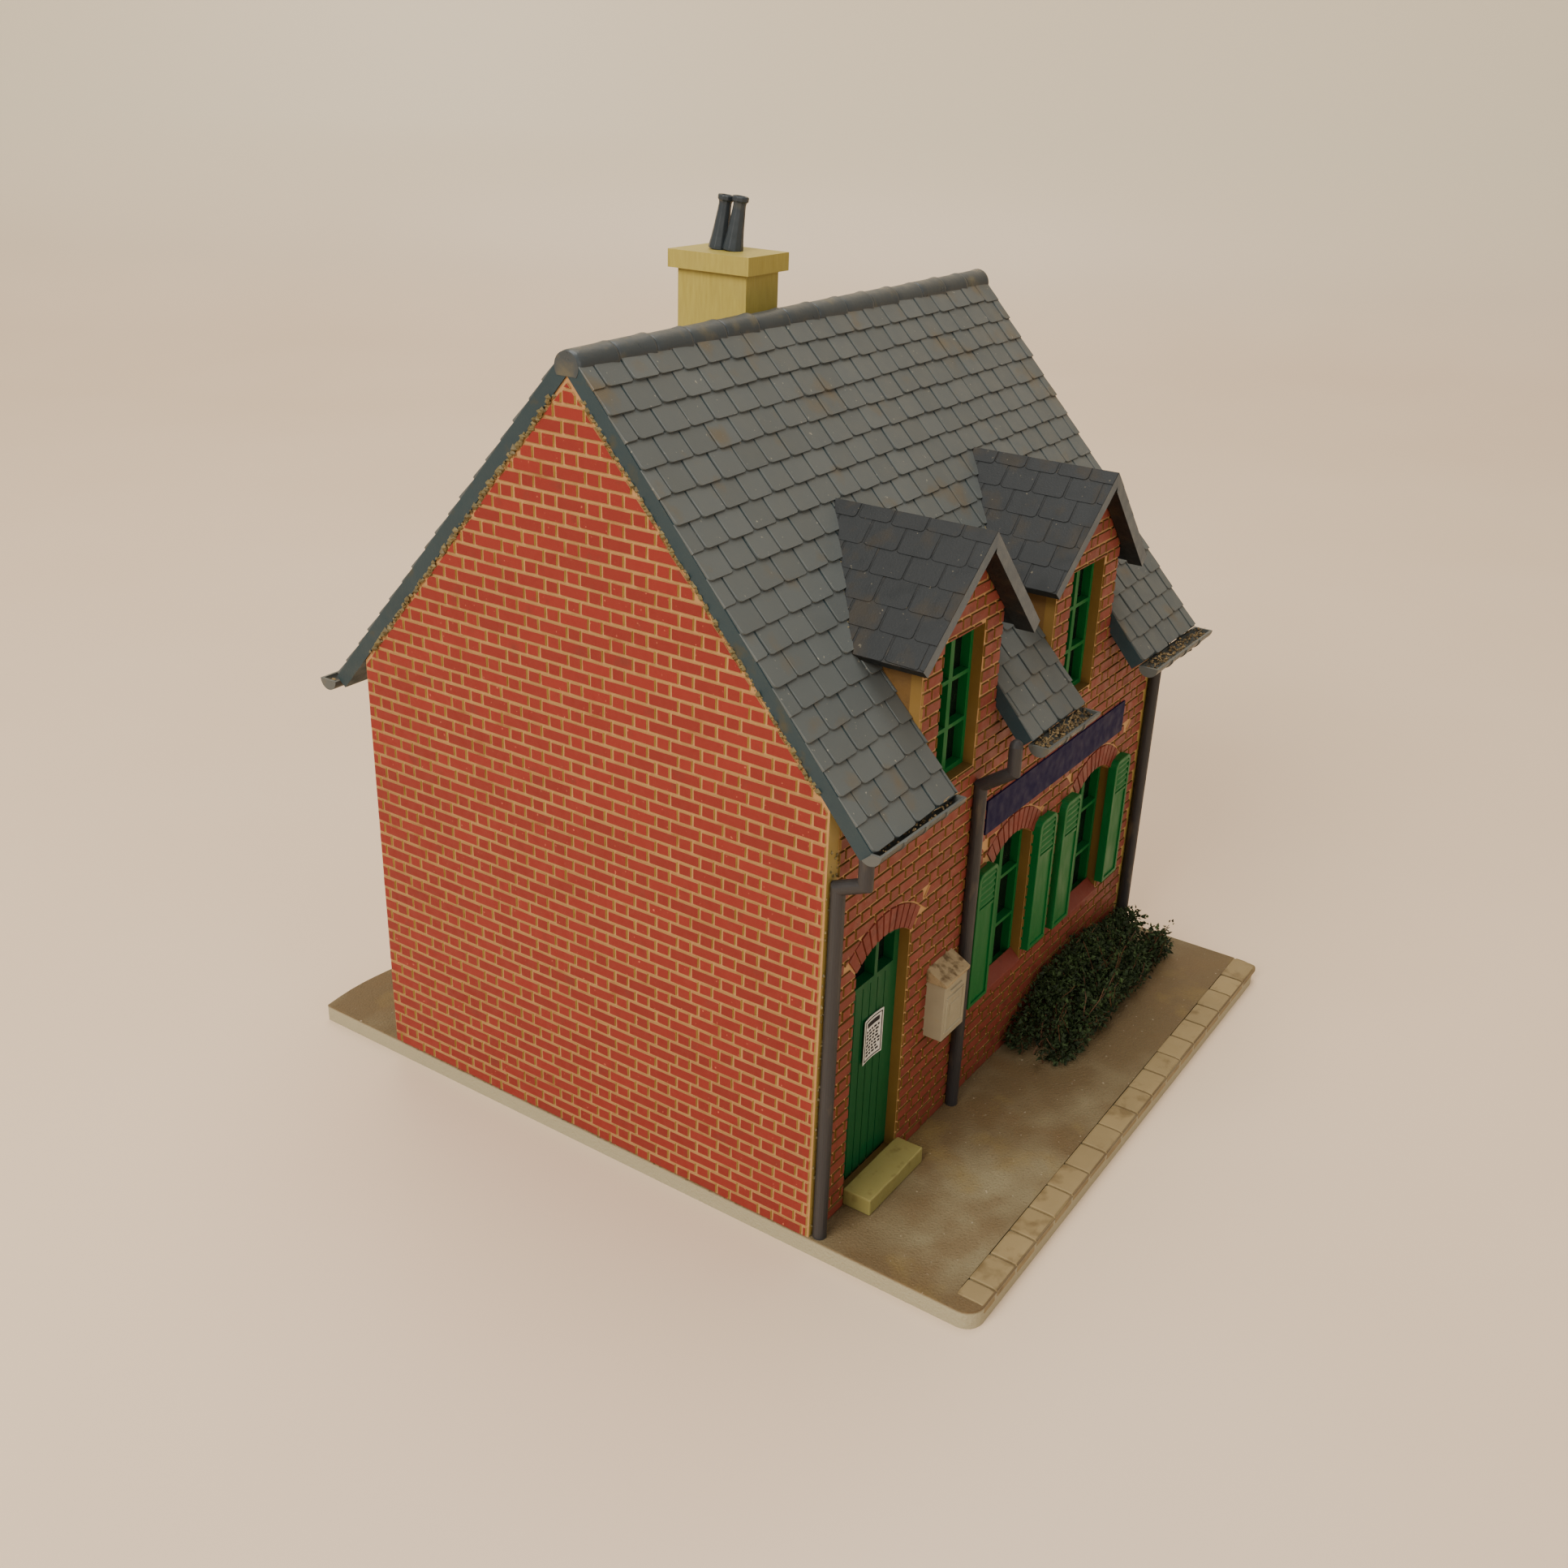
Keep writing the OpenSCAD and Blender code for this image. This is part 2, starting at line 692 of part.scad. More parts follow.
base_plate();
gable_wall_left();
gable_wall_right();
front_wall();
back_wall();
front_roof();
back_roof();
ridge_tiles();
dormer_1_roof_left();
dormer_1_roof_right();
dormer_1_cheek_left();
dormer_1_cheek_right();
dormer_2_roof_left();
dormer_2_roof_right();
dormer_2_cheek_left();
dormer_2_cheek_right();
door();
door_glazing();
door_notice();
doorstep();
window_frame_1();
window_frame_2();
window_glazing_1();
window_glazing_2();
dormer_frame_1();
dormer_frame_2();
dormer_glazing_1();
dormer_glazing_2();
back_window_frame_1();
back_window_frame_2();
back_glazing_1();
back_glazing_2();
shutter_1();
shutter_2();
shutter_3();
shutter_4();
sign_plate();
mailbox();
gutter_left();
gutter_middle();
gutter_right();
gutter_back();
downpipe_left();
downpipe_middle();
downpipe_right();
chimney_half_left();
chimney_half_right();
chimney_pots();
hedge();
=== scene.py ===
import random
from math import asin, atan2, copysign, cos, floor, hypot, pi, radians, sin, tan

import bmesh
import bpy
from mathutils import Matrix, Vector, noise


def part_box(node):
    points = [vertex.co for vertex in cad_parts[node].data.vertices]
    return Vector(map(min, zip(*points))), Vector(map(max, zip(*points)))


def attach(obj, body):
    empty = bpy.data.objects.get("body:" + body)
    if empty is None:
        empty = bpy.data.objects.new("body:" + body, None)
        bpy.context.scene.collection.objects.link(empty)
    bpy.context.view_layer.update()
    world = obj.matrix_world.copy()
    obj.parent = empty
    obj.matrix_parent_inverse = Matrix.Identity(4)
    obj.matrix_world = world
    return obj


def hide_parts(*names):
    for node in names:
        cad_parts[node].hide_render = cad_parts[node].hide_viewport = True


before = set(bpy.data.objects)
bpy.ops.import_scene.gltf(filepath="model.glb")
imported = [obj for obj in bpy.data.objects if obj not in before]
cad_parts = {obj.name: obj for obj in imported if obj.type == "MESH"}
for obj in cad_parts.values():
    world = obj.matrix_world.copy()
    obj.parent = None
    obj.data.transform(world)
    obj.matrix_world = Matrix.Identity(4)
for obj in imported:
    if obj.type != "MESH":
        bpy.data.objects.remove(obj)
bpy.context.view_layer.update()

# ---- the house's own frame
# Lengths below are in millimetres in the house frame: x from the left gable's outer face, y from the
# ridge (the street front is at negative y), z from the top of the ground plate.
MM = 0.001
gable_lo, gable_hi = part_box("gable_wall_left")
ORIGIN = Vector((gable_lo.x, (gable_lo.y + gable_hi.y) / 2, gable_lo.z))


def at(x, y, z):
    return ORIGIN + Vector((x, y, z)) * MM


def house_box(node):
    """The node's lowest and highest corners in house millimetres."""
    lo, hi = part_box(node)
    return (lo - ORIGIN) / MM, (hi - ORIGIN) / MM


APEX_H = (gable_hi.z - gable_lo.z) / MM
HALF_DEPTH = (gable_hi.y - gable_lo.y) / MM / 2
GABLE_T = (gable_hi.x - gable_lo.x) / MM
HOUSE_L = house_box("gable_wall_right")[1].x
EAVE_H = house_box("back_wall")[1].z
PITCH = atan2(APEX_H - EAVE_H, HALF_DEPTH)
ROOF_T = 1.6
TOP_APEX = APEX_H + ROOF_T / cos(PITCH)
FRONT = -HALF_DEPTH


def srgb(r, g, b):
    """Linear colour from 0-255 display values."""
    return tuple(c / 255 / 12.92 if c <= 10 else ((c / 255 + 0.055) / 1.055) ** 2.4 for c in (r, g, b))


# ---- materials
def put(node, values):
    for name, value in values.items():
        node.inputs[name].default_value = value


class Paint:
    """A procedural material: noises in object space, sized in millimetres."""

    def __init__(self, name, roughness, specular=0.35):
        self.mat = bpy.data.materials.new(name)
        self.mat.use_nodes = True
        self.tree = self.mat.node_tree
        self.shader = next(n for n in self.tree.nodes if n.type == "BSDF_PRINCIPLED")
        put(self.shader, {"Roughness": roughness, "Specular IOR Level": specular})
        place = self.new("TexCoord")
        self.coords, self.normal = place.outputs["Object"], place.outputs["Normal"]
        self.bumped = None

    def new(self, kind):
        return self.tree.nodes.new("ShaderNode" + kind)

    def link(self, source, socket):
        self.tree.links.new(source, socket)

    def noise(self, size, detail=3.0, stretch=(1, 1, 1), shift=0.0):
        """Noise of about that feature size in mm; stretch above 1 lengthens it along that axis."""
        mapping = self.new("Mapping")
        put(mapping, {"Scale": [1 / (size * MM * s) for s in stretch],
                      "Location": (shift, shift * 1.7, shift * 0.6)})
        self.link(self.coords, mapping.inputs["Vector"])
        tex = self.new("TexNoise")
        put(tex, {"Scale": 1.0, "Detail": detail})
        self.link(mapping.outputs["Vector"], tex.inputs["Vector"])
        return tex.outputs["Fac"]

    def tone(self):
        attr = self.new("Attribute")
        attr.attribute_name = "tone"
        return attr.outputs["Fac"]

    def band(self, value, low, high, out_low=0.0, out_high=1.0):
        node = self.new("MapRange")
        put(node, {"From Min": low, "From Max": high, "To Min": out_low, "To Max": out_high})
        self.link(value, node.inputs["Value"])
        return node.outputs["Result"]

    def mix(self, factor, a, b, blend="MIX"):
        node = self.new("Mix")
        node.data_type = "RGBA"
        node.blend_type = blend
        for value, socket in ((factor, node.inputs[0]), (a, node.inputs[6]), (b, node.inputs[7])):
            if isinstance(value, (int, float)):
                socket.default_value = value
            elif isinstance(value, tuple):
                socket.default_value = (*value, 1.0)
            else:
                self.link(value, socket)
        return node.outputs[2]

    def height(self, axis, low, high):
        """0 to 1 between two heights (in metres) along an object axis."""
        split = self.new("SeparateXYZ")
        self.link(self.coords, split.inputs["Vector"])
        return self.band(split.outputs[axis], low, high)

    def facing(self, axis):
        """1 on faces that look along that object axis, either way."""
        split = self.new("SeparateXYZ")
        self.link(self.normal, split.inputs["Vector"])
        size = self.new("Math")
        size.operation = "ABSOLUTE"
        self.link(split.outputs[axis], size.inputs[0])
        return self.band(size.outputs[0], 0.75, 0.95)

    def bump(self, value, depth, strength=1.0):
        node = self.new("Bump")
        put(node, {"Distance": depth * MM, "Strength": strength})
        self.link(value, node.inputs["Height"])
        if self.bumped:
            self.link(self.bumped, node.inputs["Normal"])
        self.bumped = node.outputs["Normal"]

    def done(self, colour, roughness=None):
        self.link(colour, self.shader.inputs["Base Color"])
        if roughness is not None:
            self.link(roughness, self.shader.inputs["Roughness"])
        if self.bumped:
            self.link(self.bumped, self.shader.inputs["Normal"])
        return self.mat


def darker(colour, share):
    return tuple(c * share for c in colour)


def plastic(name, colour, roughness, dirt, dirt_low, dirt_size=3.0, grain=0.25, depth=0.02, tone=0.0,
            mottled=0.12, specular=0.35, specks=None, stretch=(1, 1, 1), edges=()):
    """Moulded plastic: broad mottling, patchy dirt, fine grain, optional tone per part (painted light and
    shade by height on the hedge leaves), pale specks and another colour on the faces that look along an axis
    (bare plastic on some parts, painted highlight or painted shade on others). Edge colours are linear, the
    others 0-255."""
    paint = Paint(name, roughness, specular)
    colour, dirt = srgb(*colour), srgb(*dirt)
    broad = paint.noise(dirt_size * 2.2, 2.0, stretch, 3.1)
    result = paint.mix(broad, darker(colour, 1 - mottled), darker(colour, 1 + mottled))
    if tone:
        result = paint.mix(paint.tone(), paint.mix(1.0, result, (1 - tone,) * 3, "MULTIPLY"),
                           paint.mix(1.0, result, (1 + tone,) * 3, "MULTIPLY"))
    patches = paint.band(paint.noise(dirt_size, 5.0, stretch, 7.7), dirt_low, dirt_low + 0.16, 0.0, 0.85)
    result = paint.mix(patches, result, dirt)
    if specks:
        spots = paint.band(paint.noise(0.45, 1.0, shift=11.3), 0.74, 0.80, 0.0, 0.8)
        result = paint.mix(spots, result, srgb(*specks))
    for axis, edge in edges:
        shade = paint.mix(broad, darker(edge, 0.75), darker(edge, 1.15))
        result = paint.mix(paint.facing(axis), result, shade)
    fine = paint.noise(grain, 3.0, stretch, 1.9)
    paint.bump(fine, depth, 0.8)
    paint.bump(broad, depth * 4, 0.3)
    rough = paint.band(paint.noise(dirt_size * 0.6, 3.0, stretch, 5.2), 0.3, 0.7,
                       max(0.05, roughness - 0.08), min(1.0, roughness + 0.15))
    return paint.done(result, rough)


# Bare yellow plastic of the reveals, darkened with painted shade; faces that look up or down get a still
# darker painted shade.
SHADED_OCHRE = srgb(128, 98, 46)

m_mortar = plastic("mortar_gable", (172, 128, 80), 0.55, (150, 100, 58), 0.58, 4.0, 0.2, 0.015, mottled=0.10,
                   edges=(("Y", srgb(176, 150, 78)),))
# On the front and back walls the faces looking along x and z (reveals, heads, brick sides) take that painted
# shade.
m_mortar_front = plastic("mortar_front", (190, 146, 96), 0.55, (140, 102, 58), 0.60, 3.0, 0.2, 0.015,
                         edges=(("X", SHADED_OCHRE), ("Z", darker(SHADED_OCHRE, 0.7))))
m_brick = plastic("brick_gable", (128, 34, 24), 0.5, (112, 40, 28), 0.60, 2.0, 0.3, 0.02,
                  tone=0.10, mottled=0.06, specks=(190, 104, 74))
m_brick_front = plastic("brick_front", (128, 58, 44), 0.5, (104, 44, 32), 0.56, 2.0, 0.3, 0.02,
                        tone=0.12, mottled=0.08, specks=(170, 108, 80))
m_arch = plastic("brick_arch", (122, 54, 42), 0.5, (98, 42, 32), 0.58, 2.0, 0.3, 0.02, tone=0.10)
m_slate = plastic("slate", (84, 88, 86), 0.42, (94, 84, 66), 0.58, 5.0, 0.18, 0.018, tone=0.07,
                  mottled=0.10, specks=(150, 145, 130))
m_roof = plastic("roof_slab", (40, 56, 60), 0.45, (66, 62, 44), 0.60, 2.5, 0.3, 0.03)
m_dormer = plastic("dormer_slate", (29, 32, 33), 0.5, (44, 38, 28), 0.52, 3.5, 0.2, 0.03, tone=0.05,
                   specks=(96, 90, 74))
# The dormer slabs' faces that look along y, their front ends, get a lighter grey-blue: a painted highlight.
m_dormer_slab = plastic("dormer_slab", (26, 28, 28), 0.45, (50, 44, 34), 0.56, 2.0, 0.25, 0.03,
                        edges=(("Y", srgb(92, 100, 104)),))
m_ridge = plastic("ridge_tile", (56, 62, 64), 0.34, (92, 86, 66), 0.56, 3.0, 0.3, 0.02, tone=0.10,
                  specular=0.5)
m_green = plastic("green_joinery", (16, 102, 46), 0.42, (40, 120, 66), 0.64, 2.5, 0.35, 0.015,
                  mottled=0.10, specular=0.22, stretch=(1, 1, 3))
m_door = plastic("door_leaf", (12, 84, 44), 0.42, (22, 80, 46), 0.62, 2.5, 0.35, 0.015, specular=0.22,
                 stretch=(1, 1, 3))
m_pipe = plastic("downpipe", (50, 48, 48), 0.42, (92, 80, 64), 0.60, 2.0, 0.3, 0.02, stretch=(1, 1, 3))
m_gutter = plastic("gutter", (84, 86, 82), 0.42, (100, 92, 74), 0.58, 1.6, 0.3, 0.02)
m_kerb = plastic("kerb", (142, 122, 84), 0.6, (108, 88, 54), 0.54, 2.4, 0.25, 0.03, tone=0.08)
m_step = plastic("doorstep", (142, 132, 76), 0.5, (108, 92, 50), 0.60, 1.6, 0.3, 0.03)
m_cheek = plastic("cheek", (104, 76, 38), 0.5, (82, 60, 30), 0.60, 2.0, 0.3, 0.02)
m_sign = plastic("sign_plate", (24, 22, 62), 0.5, (34, 32, 66), 0.62, 2.0, 0.4, 0.002, mottled=0.05,
                 specular=0.08)
m_mailbox = plastic("mailbox", (156, 146, 120), 0.5, (160, 142, 104), 0.62, 1.4, 0.3, 0.02)
m_lid = plastic("mailbox_lid", (160, 140, 104), 0.6, (88, 68, 42), 0.48, 1.0, 0.2, 0.06)
m_pots = plastic("chimney_pots", (50, 56, 60), 0.36, (70, 70, 64), 0.62, 1.6, 0.3, 0.02)
m_paper = plastic("paper", (226, 222, 212), 0.8, (206, 198, 178), 0.62, 1.0, 0.15, 0.008)
m_ink = plastic("ink", (36, 34, 36), 0.7, (60, 58, 58), 0.62, 0.6, 0.1, 0.004)
# The leaves' tone holds painted light and shade: lighter high in the hedge, darker low down.
m_leaf = plastic("leaves", (46, 62, 28), 0.7, (22, 34, 16), 0.55, 1.5, 0.15, 0.03, tone=0.55)
m_twig = plastic("twigs", (92, 62, 40), 0.7, (60, 40, 26), 0.55, 1.0, 0.15, 0.03, tone=0.3)
m_debris = plastic("debris", (118, 98, 66), 0.8, (72, 56, 36), 0.52, 0.8, 0.15, 0.04, tone=0.5)
m_glue = plastic("glue", (118, 104, 66), 0.5, (78, 66, 40), 0.52, 1.0, 0.2, 0.05, tone=0.25)


def chimney_paint():
    """Bare yellow plastic with a fine upright grain, like sawn board."""
    paint = Paint("chimney", 0.5)
    grain = paint.noise(0.35, 4.0, (1, 1, 7))
    broad = paint.noise(4.0, 2.0, shift=2.0)
    colour = paint.mix(grain, srgb(152, 134, 56), srgb(184, 166, 80))
    colour = paint.mix(paint.band(broad, 0.3, 0.75, 0.0, 0.35), colour, srgb(168, 150, 82))
    spots = paint.band(paint.noise(0.6, 2.0, (1, 1, 2), 4.0), 0.72, 0.78, 0.0, 0.8)
    colour = paint.mix(spots, colour, srgb(120, 96, 48))
    paint.bump(grain, 0.05, 0.8)
    return paint.done(colour)


def ground_paint():
    """Sand-textured plate: beige at the rim, brown trodden dirt inside, olive stains and dark grit."""
    paint = Paint("ground", 0.62, 0.3)
    sand = paint.noise(0.28, 4.0)
    broad = paint.noise(16.0, 3.0, shift=6.0)
    patch = paint.noise(6.0, 5.0, shift=2.0)
    colour = paint.mix(paint.band(broad, 0.28, 0.52), srgb(134, 122, 92), srgb(102, 84, 56))
    for source, low, high, most, shade in (
            (patch, 0.5, 0.68, 0.6, (106, 84, 54)),
            (paint.noise(9.0, 4.0, shift=9.0), 0.56, 0.7, 0.5, (138, 116, 62)),
            (sand, 0.55, 0.72, 0.4, (92, 74, 48)),
            (paint.noise(0.5, 1.0, shift=3.0), 0.74, 0.8, 0.5, (190, 176, 150))):
        colour = paint.mix(paint.band(source, low, high, 0.0, most), colour, srgb(*shade))
    side = paint.height("Z", ORIGIN.z - 0.0001, ORIGIN.z - 0.0004)
    colour = paint.mix(side, colour, srgb(165, 155, 125))
    paint.bump(sand, 0.14, 1.0)
    paint.bump(patch, 0.15, 0.3)
    return paint.done(colour)


def glass_paint():
    paint = Paint("glazing", 0.14, 0.45)
    put(paint.shader, {"Transmission Weight": 0.35, "IOR": 1.3})
    cloud = paint.noise(3.0, 2.0)
    rough = paint.band(cloud, 0.3, 0.7, 0.08, 0.3)
    paint.bump(cloud, 0.1, 0.2)
    # The dark green tint stands in for the unlit inside seen through clear glazing: painted shade.
    return paint.done(paint.mix(cloud, srgb(14, 22, 18), srgb(30, 40, 32)), rough)


m_chimney = chimney_paint()
m_ground = ground_paint()
m_glass = glass_paint()

DORMER_SIDES = [(n, side) for n in (1, 2) for side in ("left", "right")]
CAD_LOOKS = {
    m_mortar: ["gable_wall_left", "gable_wall_right"],
    m_mortar_front: ["front_wall", "back_wall"],
    m_roof: ["front_roof", "back_roof"],
    m_dormer_slab: [f"dormer_{n}_roof_{side}" for n, side in DORMER_SIDES],
    m_cheek: [f"dormer_{n}_cheek_{side}" for n, side in DORMER_SIDES],
    m_door: ["door"],
    m_green: [f"{kind}_frame_{n}" for kind in ("window", "dormer", "back_window") for n in (1, 2)],
    m_glass: ["door_glazing"] + [f"{kind}_glazing_{n}" for kind in ("window", "dormer", "back")
                                 for n in (1, 2)],
    m_gutter: ["gutter_left", "gutter_middle", "gutter_right", "gutter_back"],
    m_chimney: ["chimney_half_left", "chimney_half_right"],
    m_ground: ["base_plate"],
    m_sign: ["sign_plate"],
}
for look, names in CAD_LOOKS.items():
    for name in names:
        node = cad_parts[name]
        node.data.materials.clear()
        node.data.materials.append(look)


# ---- mesh helpers
def new_object(name, data):
    obj = bpy.data.objects.new(name, data)
    bpy.context.scene.collection.objects.link(obj)
    return obj


class Shape:
    """Collects closed solids in house millimetres, then becomes one piece."""

    def __init__(self):
        self.verts, self.tones, self.faces, self.mats, self.smooth = [], [], [], [], []

    def add(self, points, faces, tone=0.5, mats=0, smooth=False):
        start = len(self.verts)
        self.verts += [at(*p) for p in points]
        self.tones += [tone] * len(points)
        for i, face in enumerate(faces):
            self.faces.append([start + k for k in face])
            self.mats.append(mats if isinstance(mats, int) else mats[i])
            self.smooth.append(smooth if isinstance(smooth, bool) else smooth[i])

    def loft(self, rings, tone=0.5, mat=0, cap_mat=None, smooth=False):
        """Closed skin through rings of equal length, capped at both ends."""
        count = len(rings[0])
        faces = []
        for r in range(len(rings) - 1):
            for i in range(count):
                j = (i + 1) % count
                faces.append([r * count + i, r * count + j, (r + 1) * count + j, (r + 1) * count + i])
        mats = [mat] * len(faces)
        last = (len(rings) - 1) * count
        faces += [list(range(count))[::-1], [last + i for i in range(count)]]
        mats += [mat, mat if cap_mat is None else cap_mat]
        rounded = [smooth] * (len(faces) - 2) + [False, False]
        self.add([p for ring in rings for p in ring], faces, tone, mats, rounded)

    def beam(self, section, a, b, mat=0):
        """A (y, z) section drawn out along x from a to b."""
        self.loft([[(x, y, z) for y, z in section] for x in (a, b)], mat=mat)

    def piece(self, name, materials, slot, *replaced, bevel=0.0):
        mesh = bpy.data.meshes.new(name)
        mesh.from_pydata(self.verts, [], self.faces)
        mesh.attributes.new("tone", "FLOAT", "POINT").data.foreach_set("value", self.tones)
        for material in materials:
            mesh.materials.append(material)
        mesh.polygons.foreach_set("material_index", self.mats)
        mesh.polygons.foreach_set("use_smooth", self.smooth)
        work = bmesh.new()
        work.from_mesh(mesh)
        bmesh.ops.recalc_face_normals(work, faces=work.faces)
        work.to_mesh(mesh)
        work.free()
        obj = new_object(name, mesh)
        if bevel:
            rounded = obj.modifiers.new("edges", "BEVEL")
            rounded.width = bevel * MM
            rounded.segments = 2
            rounded.limit_method = "ANGLE"
        if replaced:
            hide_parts(*replaced)
        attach(obj, "root")


def clip(poly, point, outward):
    """Cuts a convex polygon, keeping the side that outward points away from."""
    def side(p):
        return (p[0] - point[0]) * outward[0] + (p[1] - point[1]) * outward[1]

    kept = []
    for i, a in enumerate(poly):
        b = poly[(i + 1) % len(poly)]
        sa, sb = side(a), side(b)
        if sa <= 0:
            kept.append(a)
        if (sa < 0 < sb) or (sb < 0 < sa):
            t = sa / (sa - sb)
            kept.append((a[0] + (b[0] - a[0]) * t, a[1] + (b[1] - a[1]) * t))
    return kept


def area(poly):
    return abs(sum(poly[i - 1][0] * p[1] - p[0] * poly[i - 1][1] for i, p in enumerate(poly))) / 2


def centroid(poly):
    return sum(p[0] for p in poly) / len(poly), sum(p[1] for p in poly) / len(poly)


def tidy(poly, least=0.04):
    """Drops corners that lie on top of each other."""
    kept = []
    for p in poly:
        if not kept or hypot(p[0] - kept[-1][0], p[1] - kept[-1][1]) > least:
            kept.append(p)
    if len(kept) > 1 and hypot(kept[0][0] - kept[-1][0], kept[0][1] - kept[-1][1]) <= least:
        kept.pop()
    return kept


# ---- brickwork
COURSE = 1.4237
FIRST_BED = 1.37
HEADER = 1.716
MODULE = 5.44
JOINT = 0.26
JOINT_STREET = 0.27
RAISED = 0.20
CHAMFER = 0.05


def raise_tile(shape, poly, place, tone, rng, face_mat=0, side_mat=1):
    """A closed low frustum on a wall: place(u, v, w) puts it in the house frame, w outwards."""
    poly = tidy(poly)
    if len(poly) < 3 or area(poly) < 0.12:
        return
    middle = centroid(poly)
    top = []
    for p in poly:
        dx, dy = middle[0] - p[0], middle[1] - p[1]
        sx = min(CHAMFER, abs(dx) * 0.4) * (1 if dx > 0 else -1)
        sy = min(CHAMFER, abs(dy) * 0.4) * (1 if dy > 0 else -1)
        jx, jy = rng.uniform(-0.03, 0.03), rng.uniform(-0.03, 0.03)
        top.append((p[0] + sx + jx, p[1] + sy + jy))
    lift = RAISED * rng.uniform(0.85, 1.15)
    low = [place(p[0], p[1], -0.05) for p in poly]
    high = [place(p[0], p[1], lift) for p in top]
    shape.loft([low, high], tone, side_mat, face_mat)


def bond(u_low, u_high, v_high, shift=0.0, joint=JOINT):
    """Flemish bond rectangles between two ends, course by course, each as a polygon."""
    course = 0
    while FIRST_BED + (course - 1) * COURSE < v_high:
        bottom = FIRST_BED + (course - 1) * COURSE + joint / 2
        low, top = max(bottom, 0.1), bottom + COURSE - joint
        offset = shift + (MODULE / 2 if course % 2 else 0.0)
        start = floor((u_low - offset) / MODULE) - 1
        u = offset + start * MODULE
        while u < u_high:
            for length in (HEADER, MODULE - HEADER):
                a, b = max(u + joint / 2, u_low), min(u + length - joint / 2, u_high)
                if b - a > 0.2:
                    yield [(a, low), (b, low), (b, top), (a, top)]
                u += length
        course += 1


def cut_for_box(poly, box):
    """What is left of a brick beside a rectangular hole, cut along the side that saves most of it."""
    (a, low), (b, high) = box
    us, vs = [p[0] for p in poly], [p[1] for p in poly]
    if max(us) <= a or min(us) >= b or max(vs) <= low or min(vs) >= high:
        return poly
    options = [clip(poly, (a, 0), (1, 0)), clip(poly, (b, 0), (-1, 0)),
               clip(poly, (0, low), (0, 1)), clip(poly, (0, high), (0, -1))]
    return max(options, key=lambda p: area(p) if len(p) > 2 else 0)


class Arch:
    """A segmental arch of voussoirs over an opening of that middle, width, springing and rise."""
    RING = 2.7

    def __init__(self, middle, width, spring, rise):
        self.radius = (width ** 2 / 4 + rise ** 2) / (2 * rise)
        self.centre = (middle, spring + rise - self.radius)
        self.half_angle = asin(width / 2 / self.radius)
        self.outer = self.radius + self.RING

    def cut(self, poly):
        """A brick with the ring of voussoirs taken out of it."""
        middle = centroid(poly)
        dx, dz = middle[0] - self.centre[0], middle[1] - self.centre[1]
        angle = atan2(dx, dz)
        reaches = [hypot(p[0] - self.centre[0], p[1] - self.centre[1]) for p in poly]
        if min(reaches) > self.outer + 3:
            return poly
        if abs(angle) <= self.half_angle + 0.03:
            n = (-sin(angle), -cos(angle))
            rim = self.outer + 0.15
            return clip(poly, (self.centre[0] - n[0] * rim, self.centre[1] - n[1] * rim), n)
        if abs(angle) < self.half_angle + 0.5 and max(reaches) > self.radius - 1:
            side = copysign(self.half_angle + 0.02, angle)
            n = (-copysign(cos(side), angle), sin(abs(side)))
            return clip(poly, self.centre, n)
        return poly

    def build(self, shape, place, rng, count=11):
        """The voussoirs, with a narrow joint between them."""
        step = 2 * self.half_angle / count
        inner_gap, outer_gap = (0.11 / radius for radius in (self.radius, self.outer))
        for i in range(count):
            a0 = -self.half_angle + i * step
            a1 = a0 + step
            poly = []
            for radius, lo_a, hi_a in ((self.radius, a0 + inner_gap, a1 - inner_gap),
                                       (self.outer, a1 - outer_gap, a0 + outer_gap)):
                for t in (0.0, 0.5, 1.0):
                    angle = lo_a + (hi_a - lo_a) * t
                    poly.append((self.centre[0] + radius * sin(angle),
                                 self.centre[1] + radius * cos(angle)))
            raise_tile(shape, poly, place, rng.random(), rng, 2, 2)


def under_gable(middle, top, slope):
    """Cuts that keep a brick under a gable's two slopes."""
    normals = [Vector((side * slope, 1)).normalized() for side in (1, -1)]
    return [lambda brick, n=n: clip(brick, (middle, top), (n.x, n.y)) for n in normals]


def lay(shape, bricks, cuts, place, rng):
    """Sets each brick on a wall after the cuts, unless nothing is left of it."""
    for brick in bricks:
        for cut in cuts:
            if len(brick) > 2:
                brick = cut(brick)
        if len(brick) > 2:
            raise_tile(shape, brick, place, rng.random(), rng)


def gable_bricks(name, x_face, outward, seed):
    """The pentagon of bricks on a gable; outward is -1 for the left gable, +1 for the right."""
    shape = Shape()
    slope = (APEX_H - EAVE_H) / HALF_DEPTH
    margin, first_joint = 0.45, 23.45
    bricks = bond(-HALF_DEPTH + 0.25, HALF_DEPTH - 0.2, APEX_H, first_joint - MODULE * 10)
    lay(shape, bricks, under_gable(0, APEX_H - margin * hypot(1, slope), slope),
        lambda u, v, w: (x_face + outward * w, u, v), random.Random(seed))
    shape.piece(name, [m_brick, m_mortar], "brick_gable")


gable_bricks("bricks_gable_left", 0.0, -1, 11)
gable_bricks("bricks_gable_right", HOUSE_L, 1, 12)


def frame_boxes(kind):
    return [house_box(f"{kind}_frame_{n}") for n in (1, 2)]


dormer_boxes = frame_boxes("dormer")
FRAME_LAP = 0.7
DORMER_W = 16.4
DORMER_APEX = 68.6
DORMER_PITCH = radians(45.5)
dormer_xs = [(lo.x + hi.x) / 2 for lo, hi in dormer_boxes]
door_lo, door_hi = house_box("door")
window_boxes = frame_boxes("window")
back_boxes = frame_boxes("back_window")
ARCH_RISE = 1.9


